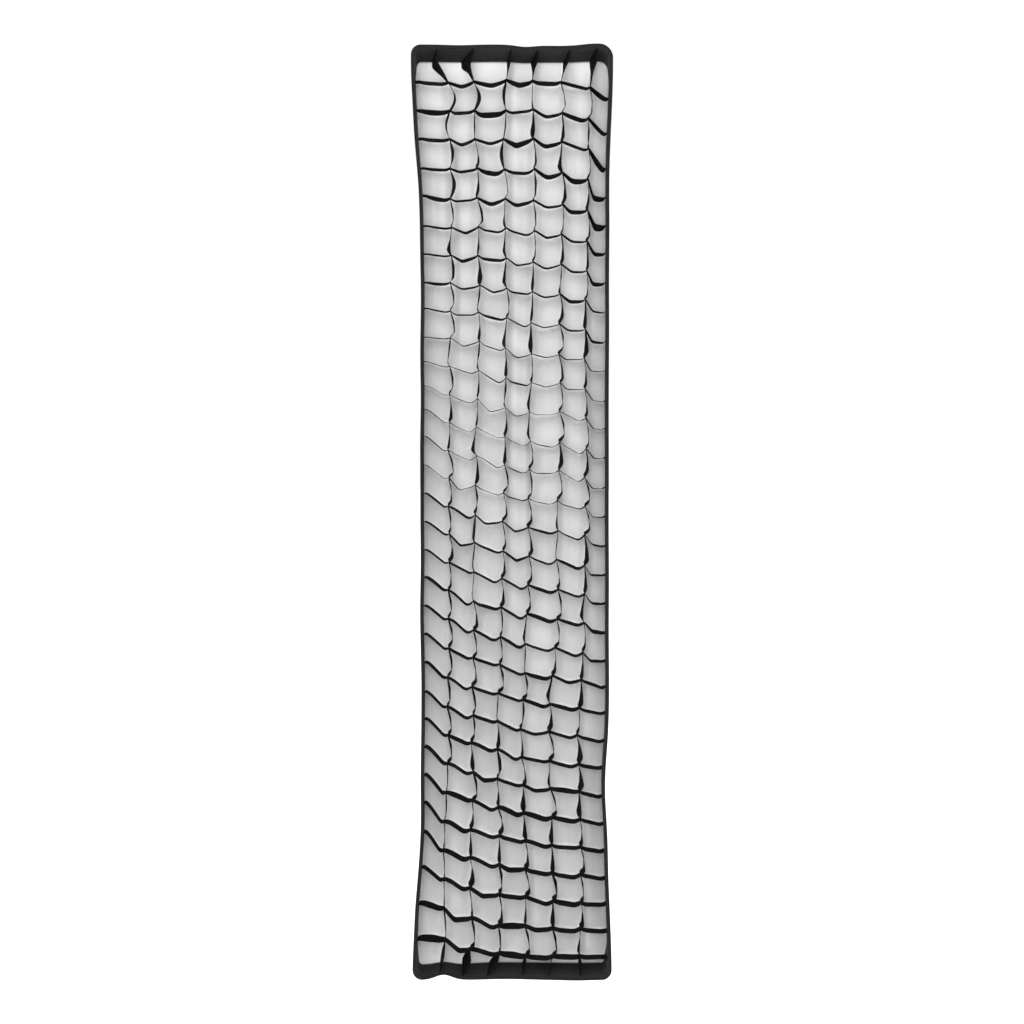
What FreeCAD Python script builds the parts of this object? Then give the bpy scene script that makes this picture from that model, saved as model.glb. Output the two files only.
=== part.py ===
import FreeCAD, Part
import math
import os
from FreeCAD import Vector

# Strip softbox, 35 x 160 cm class, for a lamp head with a three-lug S-type bayonet.
# Millimetres. +Z runs along the long axis, +Y points back to the lamp head and the
# light leaves along -Y. The origin is the centre of the face that seats on the lamp head.
# "Right" and "top" are +X and +Z, seen from the lit front.

# ---- driving dimensions -------------------------------------------------------------

# bayonet insert
INSERT_BORE_R = 47.0        # clear hole for the flash tube
COLLAR_R = 49.5             # outside of the collar that enters the lamp head
COLLAR_LENGTH = 10.5
LUG_R = 55.5
LUG_THICKNESS = 3.0
LUG_SPREAD = 34.0           # degrees
LUG_COUNT = 3
INSERT_R = 75.5
FLANGE_THICKNESS = 3.0
RIM_WIDTH = 5.0
RIM_DEPTH = 6.0             # rim that the brake shoe presses on
RIM_STEP = 0.5              # rear of the rim, in front of the seat face

# speed ring
RING_R = 88.0
RING_BORE_R = 66.0
RING_FRONT_Y = -22.0
RUNNING_GAP = 0.3           # between the insert and the ring that turns on it
RING_REAR_Y = RUNNING_GAP - RIM_STEP
STRAP_GROOVE = (-18.8, -12.2, 1.2)      # from, to, depth
CLIP_SCREW_R = 1.5
CLIP_SCREW_OFFSET = 5.0
CLIP_SCREW_CIRCLE = 81.0
CLIP_THICKNESS = 1.5
SOCKET_SCREW_R = 2.0
SOCKET_SCREW_CIRCLE = 77.0
SOCKET_SCREW_OFFSET = 10.0
SCREW_FIT = 0.05

# swivel lock on the ring's right side
LOCK_Y = -3.0
BOSS_R = 8.0
BOSS_END = 104.0
BUSH_R = 5.0
BUSH_START = 84.0
LOCK_SCREW_R = 2.95
LOCK_BORE_R = 3.05
SHOE_R = 2.9
SHOE_LENGTH = 6.2
KNOB_START = 106.5
KNOB_LENGTH = 18.0
KNOB_R = 11.0
KNOB_FLUTES = 12

# rods: a straight root in the socket, then one bow to the front corner
ROD_R = 2.75
BEND_START = Vector(67.0, -49.0, 109.0)
BEND_END = Vector(164.9, -357.9, 778.7)
BOW_ANGLE = 10.6            # degrees between the chord and the rod at either end
ROD_ROOT = 64.0             # straight length in socket and ferrule
ROD_STOP = 0.972            # share of the bow where the rod stops inside its pocket
SOCKET_DEPTH = 42.0
SOCKET_R = 5.7
SOCKET_FLOOR = 3.0
FERRULE_R = 4.0
FERRULE_LENGTH = 60.0
TIP_R = 3.5
TIP_LENGTH = 12.0
POCKET_R = 4.6
POCKET_LENGTH = 44.0

# cloth body
SHELL_THICKNESS = 0.8
LINING_THICKNESS = 0.4
CLOTH_GAP = 0.3
ROD_TO_SHELL = 6.7          # rod centre to the outside of the shell
STATIONS = 8                # sections along each panel
END_SAG = 7.0               # inward pull of the two end panels between the rods
SIDE_SAG = 9.0              # inward pull of the two long panels
SIDE_BOW = 10.5             # inward bow of their front edge
PIPING_R = 1.6
PIPING_START = 0.025        # share of the corner line where the neck ends

# neck that joins the cloth body to the ring
NECK_THICKNESS = 0.9
NECK_REAR_Y = -20.0
SLEEVE_REAR_Y = -11.0
NECK_R = 89.6
NECK_LAP = (5.0, 6.5)       # how far its front edge stands outside the shell's rear edge
NECK_CORNER_R = 4.0
STRAP_R = (90.0, 91.8)
STRAP_Y = (-18.4, -12.6)

# front lip: values at its base on the shell and at its front edge
LIP_BASE_Y = -354.0
FRONT_Y = -400.0
LIP_W = (170.5, 171.5)      # half width at the corners
LIP_W_MID = (160.0, 160.5)  # half width at mid height
LIP_H = (782.0, 802.0)      # half height
LIP_CORNER_R = (11.0, 15.0)
LIP_THICKNESS = 1.4
TAPE_THICKNESS = 1.0

# diffusers
DIFFUSER_Y = -356.5
DIFFUSER_THICKNESS = 0.5
INNER_Y = -200.0
INNER_HALF = (92.0, 440.0)
INNER_CORNER_R = 20.0
TAB_WIDTH = 20.0
TAB_THICKNESS = 1.2
STUD_R = 5.0

# egg-crate grid
GRID_COLUMNS = 7
GRID_ROWS = 32
GRID_PITCH_X = 45.5
GRID_PITCH_Z = 49.5
STRIP_THICKNESS = 1.0
GRID_BACK = 0.17            # shares of the lip's depth
GRID_FRONT = 0.95
SLOT_GAP = 0.25

QUARTERS = {
    "top_right": (1, 1),
    "top_left": (-1, 1),
    "bottom_left": (-1, -1),
    "bottom_right": (1, -1),
}
ORIGIN = Vector(0, 0, 0)
X_AXIS = Vector(1, 0, 0)
Y_AXIS = Vector(0, 1, 0)
Z_AXIS = Vector(0, 0, 1)


# ---- helpers ------------------------------------------------------------------------

def save(name, *solids):
    shape = solids[0]
    if len(solids) > 1:
        shape = Part.makeCompound(list(solids))
    for solid in shape.Solids:
        if not solid.isValid():
            print("not valid:", name)
    print(f"{name}: {len(shape.Solids)} solids, {shape.Volume:.0f} mm3")
    shape.exportStep(f"parts/{name}.step")


def cylinder(radius, start, direction, length):
    return Part.makeCylinder(radius, length, start, direction)


def tube(inner_r, outer_r, start, direction, length):
    outer = cylinder(outer_r, start, direction, length)
    return outer.cut(cylinder(inner_r, start, direction, length))


def ring(inner_r, outer_r, y_from, y_to):
    return tube(inner_r, outer_r, Vector(0, y_from, 0), Y_AXIS, y_to - y_from)


def box(x, y, z):
    return Part.makeBox(x[1] - x[0], y[1] - y[0], z[1] - z[0], Vector(x[0], y[0], z[0]))


def turn(shape, degrees):
    """Turn about the lamp axis, +X towards +Z."""
    return shape.rotated(ORIGIN, Vector(0, -1, 0), degrees)


def to_quarter(shape, quarter):
    """Mirror a shape made for the top right into another corner."""
    side, end = QUARTERS[quarter]
    if side < 0:
        shape = shape.mirror(ORIGIN, X_AXIS)
    if end < 0:
        shape = shape.mirror(ORIGIN, Z_AXIS)
    return shape


def at_corners(shape):
    return [to_quarter(shape, quarter) for quarter in QUARTERS]


def sweep(radius, path):
    """Round bar along a smooth path of edges."""
    start = path.Edges[0].valueAt(path.Edges[0].FirstParameter)
    tangent = path.Edges[0].tangentAt(path.Edges[0].FirstParameter)
    profile = Part.Wire(Part.makeCircle(radius, start, tangent))
    return path.makePipeShell([profile], True, True)


def blend(pair, share):
    return pair[0] + (pair[1] - pair[0]) * share


def edge_between(first, middle, last):
    """An arc through three points, or a line where they are in line."""
    if (middle - (first + last) * 0.5).Length < 1e-6:
        return Part.makeLine(first, last)
    return Part.Arc(first, middle, last).toShape()


# ---- rod line and the corner line of the shell ---------------------------------------

CHORD = BEND_END - BEND_START
CHORD_DIRECTION = Vector(CHORD).normalize()
BOW_DIRECTION = (Y_AXIS - CHORD_DIRECTION * CHORD_DIRECTION.dot(Y_AXIS)).normalize()
BOW_HEIGHT = 0.5 * CHORD.Length * math.tan(math.radians(BOW_ANGLE / 2))
BEND_MIDDLE = (BEND_START + BEND_END) * 0.5 + BOW_DIRECTION * BOW_HEIGHT
ROD_ARC = Part.Arc(BEND_START, BEND_MIDDLE, BEND_END)


def arc_point(arc, share):
    return arc.value(blend((arc.FirstParameter, arc.LastParameter), share))


def arc_direction(arc, share):
    return arc.tangent(blend((arc.FirstParameter, arc.LastParameter), share))[0]


def end_normal(direction):
    """Outward normal of an end panel where it crosses the rod line."""
    return Vector(0, direction.z, -direction.y).normalize()


def side_normal(direction):
    """Outward normal of a long panel where it crosses the rod line."""
    return Vector(-direction.y, direction.x, 0).normalize()


def offset_arc(distance):
    """The rod line moved outward, clear of both panels by the distance."""
    points = []
    for share in (0.0, 0.5, 1.0):
        direction = arc_direction(ROD_ARC, share)
        end = end_normal(direction)
        side = side_normal(direction)
        shift = (end + side) * (distance / (1 + end.dot(side)))
        points.append(arc_point(ROD_ARC, share) + shift)
    return Part.Arc(*points)


ROOT_DIRECTION = arc_direction(ROD_ARC, 0.0)
SOCKET_START = BEND_START - ROOT_DIRECTION * ROD_ROOT
CORNER_ARC = offset_arc(ROD_TO_SHELL)


# ---- bayonet insert and speed ring ----------------------------------------------------

def bayonet_insert():
    body = ring(INSERT_BORE_R, INSERT_R, -FLANGE_THICKNESS, 0)
    body = body.fuse(ring(INSERT_R - RIM_WIDTH, INSERT_R, -RIM_DEPTH, -RIM_STEP))
    body = body.cut(ring(INSERT_R - RIM_WIDTH, INSERT_R + 1, -RIM_STEP, 1))
    body = body.fuse(ring(INSERT_BORE_R, COLLAR_R, -FLANGE_THICKNESS, COLLAR_LENGTH))
    lug_profile = Part.Face(Part.makePolygon([
        Vector(COLLAR_R - 1, COLLAR_LENGTH - LUG_THICKNESS, 0),
        Vector(LUG_R - 0.8, COLLAR_LENGTH - LUG_THICKNESS, 0),
        Vector(LUG_R, COLLAR_LENGTH - LUG_THICKNESS + 0.8, 0),
        Vector(LUG_R, COLLAR_LENGTH - 0.8, 0),
        Vector(LUG_R - 0.8, COLLAR_LENGTH, 0),
        Vector(COLLAR_R - 1, COLLAR_LENGTH, 0),
        Vector(COLLAR_R - 1, COLLAR_LENGTH - LUG_THICKNESS, 0),
    ]))
    lug = lug_profile.revolve(ORIGIN, Vector(0, -1, 0), LUG_SPREAD)
    for index in range(LUG_COUNT):
        body = body.fuse(turn(lug, index * 360 / LUG_COUNT - LUG_SPREAD / 2))
    return body.removeSplitter()


def around_ring(circle_r, tangential, angle):
    """A place on the ring: radius, sideways offset and angle of the corner it serves."""
    radians = math.radians(angle)
    return Vector(
        circle_r * math.cos(radians) - tangential * math.sin(radians),
        0,
        circle_r * math.sin(radians) + tangential * math.cos(radians),
    )


def places(circle_r, tangential):
    """Two places at each of the ring's four corners."""
    return [
        around_ring(circle_r, side * tangential, angle)
        for angle in (45, 135, 225, 315)
        for side in (-1, 1)
    ]


def lock_axis(x):
    return Vector(x, LOCK_Y, 0)


def speed_ring():
    body = ring(RING_BORE_R, RING_R, RING_FRONT_Y, RING_REAR_Y)
    body = body.makeChamfer(1.5, [
        edge for edge in body.Edges
        if abs(edge.BoundBox.YMin - RING_FRONT_Y) < 0.01 and edge.BoundBox.XLength > 1
        and abs(edge.BoundBox.YLength) < 0.01
    ])
    body = body.cut(ring(RING_R - STRAP_GROOVE[2], RING_R + 1, STRAP_GROOVE[0], STRAP_GROOVE[1]))
    boss_start = INSERT_R + 4
    body = body.fuse(cylinder(BOSS_R, lock_axis(boss_start), X_AXIS, BOSS_END - boss_start))
    web = box((boss_start, BOSS_END - 6), (RING_FRONT_Y + 11, RING_REAR_Y), (-2.5, 2.5))
    body = body.fuse(web)
    rebate_y = -RIM_DEPTH - RUNNING_GAP
    rebate_r = INSERT_R + RUNNING_GAP
    rear_cut = cylinder(rebate_r, Vector(0, rebate_y, 0), Y_AXIS, BOSS_R + 20)
    body = body.cut(rear_cut)
    body = body.cut(cylinder(LOCK_BORE_R, lock_axis(INSERT_R - 1), X_AXIS, 40))
    body = body.cut(cylinder(BUSH_R, lock_axis(BUSH_START), X_AXIS, 40))
    for place in places(CLIP_SCREW_CIRCLE, CLIP_SCREW_OFFSET):
        hole = cylinder(CLIP_SCREW_R + SCREW_FIT, place + Y_AXIS * -8, Y_AXIS, 20)
        body = body.cut(hole)
    for place in places(SOCKET_SCREW_CIRCLE, SOCKET_SCREW_OFFSET):
        hole = cylinder(SOCKET_SCREW_R + SCREW_FIT, place + Y_AXIS * (RING_FRONT_Y - 1), Y_AXIS, 11)
        body = body.cut(hole)
    return body.removeSplitter()


def screw(radius, head_r, head_height, length, base, direction):
    """A pan-head screw: the base is the underside of its head."""
    shank = cylinder(radius, base - direction * length, direction, length)
    head = cylinder(head_r, base, direction, head_height)
    rim = [edge for edge in head.Edges if (edge.CenterOfMass - base).dot(direction) > head_height * 0.9]
    head = head.makeFillet(head_height * 0.45, rim)
    body = shank.fuse(head)
    recess_depth = head_height * 0.6
    corner = base + direction * (head_height - recess_depth)
    slot_w = head_r * 0.16
    slot_l = head_r * 0.62
    top = corner.y + direction.y * head_height
    y_span = (min(corner.y, top), max(corner.y, top))
    for half_x, half_z in ((slot_w, slot_l), (slot_l, slot_w)):
        body = body.cut(box(
            (corner.x - half_x, corner.x + half_x),
            y_span,
            (corner.z - half_z, corner.z + half_z),
        ))
    return body


def insert_clip():
    """A plate that overlaps the insert's rim and keeps it in the rebate."""
    clip = box((71.8, 86.2), (RING_REAR_Y, RING_REAR_Y + CLIP_THICKNESS), (-9, 9))
    clip = clip.makeFillet(2.5, [e for e in clip.Edges if abs(e.BoundBox.YLength - CLIP_THICKNESS) < 0.01])
    for side in (-1, 1):
        start = Vector(CLIP_SCREW_CIRCLE, -1, side * CLIP_SCREW_OFFSET)
        clip = clip.cut(cylinder(CLIP_SCREW_R + SCREW_FIT, start, Y_AXIS, 10))
    return turn(clip, 45)


def clip_screws():
    seat = Y_AXIS * (RING_REAR_Y + CLIP_THICKNESS)
    return [
        screw(CLIP_SCREW_R, 2.8, 1.7, 7.5, place + seat, Y_AXIS)
        for place in places(CLIP_SCREW_CIRCLE, CLIP_SCREW_OFFSET)
    ]


# ---- swivel lock ------------------------------------------------------------------------

def lock_bush():
    body = tube(LOCK_BORE_R, BUSH_R - 0.02, lock_axis(BUSH_START + 0.02), X_AXIS, BOSS_END - BUSH_START)
    flange = tube(LOCK_BORE_R, BUSH_R + 1.6, lock_axis(BOSS_END + 0.02), X_AXIS, 1.2)
    return body.fuse(flange).removeSplitter()


def brake_shoe():
    shoe = cylinder(SHOE_R, lock_axis(INSERT_R + RUNNING_GAP), X_AXIS, SHOE_LENGTH)
    return shoe.makeChamfer(0.4, [e for e in shoe.Edges if e.BoundBox.XLength < 0.01])


def lock_screw():
    start = INSERT_R + RUNNING_GAP + SHOE_LENGTH + 0.05
    return cylinder(LOCK_SCREW_R, lock_axis(start), X_AXIS, KNOB_START + KNOB_LENGTH - 5 - start)


def lock_knob():
    hub = cylinder(6.5, lock_axis(KNOB_START), X_AXIS, 5)
    grip_start = KNOB_START + 4
    grip = cylinder(KNOB_R, lock_axis(grip_start), X_AXIS, KNOB_LENGTH - 4)
    grip = grip.makeFillet(2.0, [e for e in grip.Edges if e.BoundBox.XLength < 0.01])
    for index in range(KNOB_FLUTES):
        radians = math.radians(index * 360 / KNOB_FLUTES)
        offset = Vector(0, math.cos(radians), math.sin(radians)) * (KNOB_R + 1.0)
        grip = grip.cut(cylinder(2.0, lock_axis(grip_start - 1) + offset, X_AXIS, KNOB_LENGTH))
    body = hub.fuse(grip)
    screw_hole = cylinder(LOCK_SCREW_R + SCREW_FIT, lock_axis(KNOB_START - 1), X_AXIS, KNOB_LENGTH - 4 + 0.1)
    return body.cut(screw_hole).removeSplitter()


# ---- rod sockets, rods and their fittings -------------------------------------------------

def rod_socket():
    """Cast bracket on the ring's front face with the rod's tubular socket."""
    centre = around_ring(SOCKET_SCREW_CIRCLE - 1, 0, 45)
    plate = box((66.3, 86.0), (RING_FRONT_Y - 4, RING_FRONT_Y), (-15, 15))
    plate = plate.makeFillet(3.0, [e for e in plate.Edges if abs(e.BoundBox.YLength - 4) < 0.01])
    plate = turn(plate, 45)
    saddle = box((-7, 7), (0, 10), (-10, 10))
    saddle.rotate(ORIGIN, Y_AXIS, math.degrees(math.atan2(ROOT_DIRECTION.x, ROOT_DIRECTION.z)))
    saddle.translate(Vector(centre.x + 3.5, RING_FRONT_Y - 13.5, centre.z + 2))
    barrel = cylinder(SOCKET_R, SOCKET_START - ROOT_DIRECTION * SOCKET_FLOOR, ROOT_DIRECTION,
                      SOCKET_DEPTH + SOCKET_FLOOR)
    body = plate.fuse([saddle, barrel])
    body = body.cut(cylinder(FERRULE_R + SCREW_FIT, SOCKET_START, ROOT_DIRECTION, SOCKET_DEPTH + 1))
    for side in (-1, 1):
        place = around_ring(SOCKET_SCREW_CIRCLE, side * SOCKET_SCREW_OFFSET, 45)
        body = body.cut(cylinder(SOCKET_SCREW_R + SCREW_FIT, place + Y_AXIS * -30, Y_AXIS, 10))
        body = body.cut(cylinder(4.0, place + Y_AXIS * (RING_FRONT_Y - 24), Y_AXIS, 20))
    return body.removeSplitter()


def socket_screws():
    seat = Y_AXIS * (RING_FRONT_Y - 4)
    return [
        screw(SOCKET_SCREW_R, 3.6, 2.4, 13, place + seat, Vector(0, -1, 0))
        for place in places(SOCKET_SCREW_CIRCLE, SOCKET_SCREW_OFFSET)
    ]


def rod():
    start = SOCKET_START + ROOT_DIRECTION * 0.5
    bow = Part.Arc(BEND_START, arc_point(ROD_ARC, ROD_STOP / 2), arc_point(ROD_ARC, ROD_STOP))
    path = Part.Wire([Part.makeLine(start, BEND_START), bow.toShape()])
    return sweep(ROD_R, path)


def rod_ferrule():
    return tube(ROD_R + SCREW_FIT, FERRULE_R, SOCKET_START + ROOT_DIRECTION * 0.2, ROOT_DIRECTION,
                FERRULE_LENGTH)


def rod_tip_place():
    return arc_point(ROD_ARC, ROD_STOP), arc_direction(ROD_ARC, ROD_STOP)


def rod_tip():
    """Nylon cap over the rod's front end."""
    end, direction = rod_tip_place()
    cap = cylinder(TIP_R, end - direction * (TIP_LENGTH - 2), direction, TIP_LENGTH)
    cap = cap.makeFillet(1.2, [e for e in cap.Edges if (e.CenterOfMass - end).dot(direction) > 1])
    return cap.cut(cylinder(ROD_R + SCREW_FIT, end - direction * TIP_LENGTH, direction, TIP_LENGTH + 0.1))


def corner_pocket():
    """Sewn sleeve with a closed end that takes the rod tip."""
    end, direction = rod_tip_place()
    start = end - direction * (POCKET_LENGTH - 4)
    sleeve = cylinder(POCKET_R, start, direction, POCKET_LENGTH)
    return sleeve.cut(cylinder(POCKET_R - 0.9, start - direction, direction, POCKET_LENGTH))


# ---- cloth body -----------------------------------------------------------------------------

def panel_section(points, normals, thickness):
    """Closed thin section through three outside points, thickened inward."""
    inner = [point - normal * thickness for point, normal in zip(points, normals)]
    return Part.Wire([
        edge_between(*points),
        Part.makeLine(points[2], inner[2]),
        edge_between(inner[2], inner[1], inner[0]),
        Part.makeLine(inner[0], points[0]),
    ])


def end_panel(inset, thickness, trim):
    """The top panel, between the two upper rods."""
    sections = []
    for index in range(STATIONS + 1):
        share = index / STATIONS
        corner = arc_point(CORNER_ARC, share)
        normal = end_normal(arc_direction(CORNER_ARC, share))
        sag = END_SAG * math.sin(math.pi * share) + 0.2
        half = corner.x - trim
        middle = Vector(0, corner.y, corner.z) - normal * (sag + inset)
        right = Vector(half, corner.y, corner.z) - normal * inset
        left = Vector(-half, corner.y, corner.z) - normal * inset
        sections.append(panel_section([left, middle, right], [normal] * 3, thickness))
    return Part.makeLoft(sections, True, False)


def side_panel(inset, thickness, trim):
    """The right-hand long panel, between the two right rods."""
    sections = []
    for index in range(STATIONS + 1):
        share = index / STATIONS
        corner = arc_point(CORNER_ARC, share)
        direction = arc_direction(CORNER_ARC, share)
        normal = side_normal(direction)
        bow = SIDE_BOW * share + SIDE_SAG * math.sin(math.pi * share) + 0.2
        half = corner.z - trim / end_normal(direction).z
        outer = Vector(corner.x, corner.y, 0) - normal * inset
        points = [outer - Z_AXIS * half, outer - normal * bow, outer + Z_AXIS * half]
        sections.append(panel_section(points, [normal] * 3, thickness))
    in_front = box((0, LIP_W[1]), (FRONT_Y, LIP_BASE_Y), (-LIP_H[1], LIP_H[1]))
    return Part.makeLoft(sections, True, False).cut(in_front)


def corner_piping():
    line = offset_arc(ROD_TO_SHELL + PIPING_R + 0.2)
    half_way = (1 + PIPING_START) / 2
    piping = Part.Arc(*[arc_point(line, share) for share in (PIPING_START, half_way, 1.0)])
    return sweep(PIPING_R, Part.Wire(piping.toShape()))


def outline(y, half_w, half_w_mid, half_h, corner_r):
    """Closed outline in a plane of constant y: bowed sides, straight ends, round corners."""
    cut = corner_r * (1 - math.cos(math.radians(45)))

    def at(x, z):
        return Vector(x, y, z)

    knots = [
        (at(half_w, corner_r - half_h), at(half_w_mid, 0), at(half_w, half_h - corner_r)),
        (at(half_w, half_h - corner_r), at(half_w - cut, half_h - cut), at(half_w - corner_r, half_h)),
        (at(half_w - corner_r, half_h), at(0, half_h), at(corner_r - half_w, half_h)),
        (at(corner_r - half_w, half_h), at(cut - half_w, half_h - cut), at(-half_w, half_h - corner_r)),
        (at(-half_w, half_h - corner_r), at(-half_w_mid, 0), at(-half_w, corner_r - half_h)),
        (at(-half_w, corner_r - half_h), at(cut - half_w, cut - half_h), at(corner_r - half_w, -half_h)),
        (at(corner_r - half_w, -half_h), at(0, -half_h), at(half_w - corner_r, -half_h)),
        (at(half_w - corner_r, -half_h), at(half_w - cut, cut - half_h), at(half_w, corner_r - half_h)),
    ]
    return Part.Wire([edge_between(*knot) for knot in knots])


def round_outline(y, radius, half_w, half_h, corner_r):
    """A circle cut into the same eight edges as an outline of that size."""
    side = math.atan2(half_h - corner_r, half_w)
    top = math.atan2(half_h, half_w - corner_r)
    angles = [-side, side, top, math.pi - top, math.pi - side, math.pi + side, math.pi + top,
              2 * math.pi - top, 2 * math.pi - side]

    def at(angle):
        return Vector(radius * math.cos(angle), y, radius * math.sin(angle))

    edges = [
        Part.Arc(at(first), at((first + last) / 2), at(last)).toShape()
        for first, last in zip(angles, angles[1:])
    ]
    return Part.Wire(edges)


def neck():
    """Cloth neck from the shell's rear edge to the ring, with a sleeve round the ring."""
    corner = arc_point(CORNER_ARC, 0.0)
    front_y = corner.y - 0.5

    def skin(inset, reach):
        half_w = corner.x + NECK_LAP[0] - inset
        half_h = corner.z + NECK_LAP[1] - inset
        corner_r = NECK_CORNER_R - inset
        front = outline(front_y - reach, half_w, half_w, half_h, corner_r)
        rear = round_outline(NECK_REAR_Y, NECK_R - inset, half_w, half_h, corner_r)
        return Part.makeLoft([front, rear], True, True)

    funnel = skin(0.0, 0.0).cut(skin(NECK_THICKNESS, 0.5))
    sleeve = ring(NECK_R - NECK_THICKNESS, NECK_R, NECK_REAR_Y, SLEEVE_REAR_Y)
    return funnel.fuse(sleeve)


def neck_strap():
    """Hook-and-loop strap that cinches the sleeve into the ring's groove."""
    band = ring(STRAP_R[0], STRAP_R[1], STRAP_Y[0], STRAP_Y[1])
    tail = ring(STRAP_R[1], STRAP_R[1] + 1.6, STRAP_Y[0], STRAP_Y[1])
    wedge = Part.makeCylinder(120, 20, Vector(0, STRAP_Y[0] - 5, 0), Y_AXIS, 40)
    return band.fuse(tail.common(turn(wedge, 250)))


# ---- front lip, diffusers and grid -------------------------------------------------------------

def lip_y(share):
    return blend((LIP_BASE_Y, FRONT_Y), share)


def lip_outline(share, inset):
    return outline(
        lip_y(share),
        blend(LIP_W, share) - inset,
        blend(LIP_W_MID, share) - inset,
        blend(LIP_H, share) - inset,
        blend(LIP_CORNER_R, share) - inset,
    )


def lip_ring(inset, thickness, back, front):
    """A closed band that follows the flared lip."""
    reach = 0.03
    outer = Part.makeLoft([lip_outline(back, inset), lip_outline(front, inset)], True, True)
    inner = Part.makeLoft([
        lip_outline(back - reach, inset + thickness),
        lip_outline(front + reach, inset + thickness),
    ], True, True)
    return outer.cut(inner)


LOOP_INSET = LIP_THICKNESS + 0.2
HOOK_INSET = LOOP_INSET + TAPE_THICKNESS + CLOTH_GAP
BORDER_INSET = HOOK_INSET + TAPE_THICKNESS + CLOTH_GAP
STRIP_INSET = BORDER_INSET + STRIP_THICKNESS + CLOTH_GAP


def front_diffuser():
    share = (DIFFUSER_Y - LIP_BASE_Y) / (FRONT_Y - LIP_BASE_Y)
    face = Part.Face(lip_outline(share, HOOK_INSET))
    return face.extrude(Vector(0, DIFFUSER_THICKNESS, 0))


def inner_tab_places():
    """Centre of the sheet's edge and outward direction for each of the eight tabs."""
    half_w, half_h = INNER_HALF
    long_side = [(Vector(half_w, INNER_Y, z), X_AXIS) for z in (-330, 0, 330)]
    other_side = [(Vector(-half_w, INNER_Y, z), X_AXIS * -1) for z in (-330, 0, 330)]
    ends = [(Vector(0, INNER_Y, half_h), Z_AXIS), (Vector(0, INNER_Y, -half_h), Z_AXIS * -1)]
    return long_side + other_side + ends


def inner_diffuser():
    half_w, half_h = INNER_HALF
    wire = outline(INNER_Y, half_w, half_w, half_h, INNER_CORNER_R)
    return Part.Face(wire).extrude(Vector(0, DIFFUSER_THICKNESS, 0))


def strip_from(place, direction, start, length, y_from, y_to):
    """A flat webbing piece in the plane of the inner diffuser."""
    half = TAB_WIDTH / 2
    if abs(direction.x) > 0.5:
        spans = sorted((place.x + direction.x * start, place.x + direction.x * (start + length)))
        return box(spans, (y_from, y_to), (place.z - half, place.z + half))
    spans = sorted((place.z + direction.z * start, place.z + direction.z * (start + length)))
    return box((place.x - half, place.x + half), (y_from, y_to), spans)


def wall_distance(place, direction):
    """Way from the sheet's edge to the lining, just behind the inner diffuser."""
    reach = 200.0
    start = place + Y_AXIS * (DIFFUSER_THICKNESS + CLOTH_GAP + TAB_THICKNESS + 0.5)
    line = Part.makeLine(start, start + direction * reach)
    lining = LINING_END if abs(direction.z) > 0.5 else LINING_SIDE
    if direction.x < 0:
        lining = lining.mirror(ORIGIN, X_AXIS)
    if direction.z < 0:
        lining = lining.mirror(ORIGIN, Z_AXIS)
    crossing = line.common(lining)
    return min((vertex.Point - start).Length for vertex in crossing.Vertexes)


def inner_tabs():
    front_y = INNER_Y - TAB_THICKNESS - 0.1
    return [
        strip_from(place, direction, -10, 10 + wall_distance(place, direction) * 0.7, front_y, INNER_Y - 0.1)
        for place, direction in inner_tab_places()
    ]


def stud_place(place, direction):
    return place + direction * (wall_distance(place, direction) * 0.7 - 9)


def anchor_loops():
    """Webbing sewn to the lining; each tab snaps to one of them."""
    rear_y = INNER_Y + DIFFUSER_THICKNESS + CLOTH_GAP
    loops = []
    for place, direction in inner_tab_places():
        reach = wall_distance(place, direction)
        start = reach * 0.7 - 18
        loops.append(strip_from(place, direction, start, reach - start - 1.0, rear_y, rear_y + TAB_THICKNESS))
    return loops


def snap_caps():
    """Front halves of the press studs, on the tabs."""
    caps = []
    for place, direction in inner_tab_places():
        centre = stud_place(place, direction)
        start = Vector(centre.x, INNER_Y - TAB_THICKNESS - 0.1 - 1.6, centre.z)
        cap = cylinder(STUD_R, start, Y_AXIS, 1.6)
        caps.append(cap.makeFillet(1.0, [e for e in cap.Edges if e.BoundBox.YMax < start.y + 0.1]))
    return caps


def snap_studs():
    """Rear halves of the press studs, riveted to the loops on the lining."""
    rear_y = INNER_Y + DIFFUSER_THICKNESS + CLOTH_GAP + TAB_THICKNESS
    studs = []
    for place, direction in inner_tab_places():
        centre = stud_place(place, direction)
        studs.append(cylinder(STUD_R, Vector(centre.x, rear_y, centre.z), Y_AXIS, 1.4))
    return studs


GRID_BACK_Y = lip_y(GRID_BACK)
GRID_FRONT_Y = lip_y(GRID_FRONT)
GRID_MIDDLE_Y = (GRID_BACK_Y + GRID_FRONT_Y) / 2


def strip_end(back_reach, front_reach, y):
    share = (y - GRID_BACK_Y) / (GRID_FRONT_Y - GRID_BACK_Y)
    return blend((back_reach, front_reach), share)


def comb(back_reach, front_reach, crossings, slots_from_front):
    """Outline points (along, y) of a strip with a half-depth slot at each crossing."""
    half_slot = STRIP_THICKNESS / 2 + SLOT_GAP
    open_y = GRID_FRONT_Y if slots_from_front else GRID_BACK_Y
    closed_y = GRID_BACK_Y if slots_from_front else GRID_FRONT_Y
    slot_y = GRID_MIDDLE_Y + (SLOT_GAP if slots_from_front else -SLOT_GAP)
    open_end = strip_end(back_reach, front_reach, open_y)
    closed_end = strip_end(back_reach, front_reach, closed_y)
    points = [(-open_end, open_y)]
    for crossing in crossings:
        points.append((crossing - half_slot, open_y))
        points.append((crossing - half_slot, slot_y))
        points.append((crossing + half_slot, slot_y))
        points.append((crossing + half_slot, open_y))
    points += [(open_end, open_y), (closed_end, closed_y), (-closed_end, closed_y)]
    return points


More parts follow.
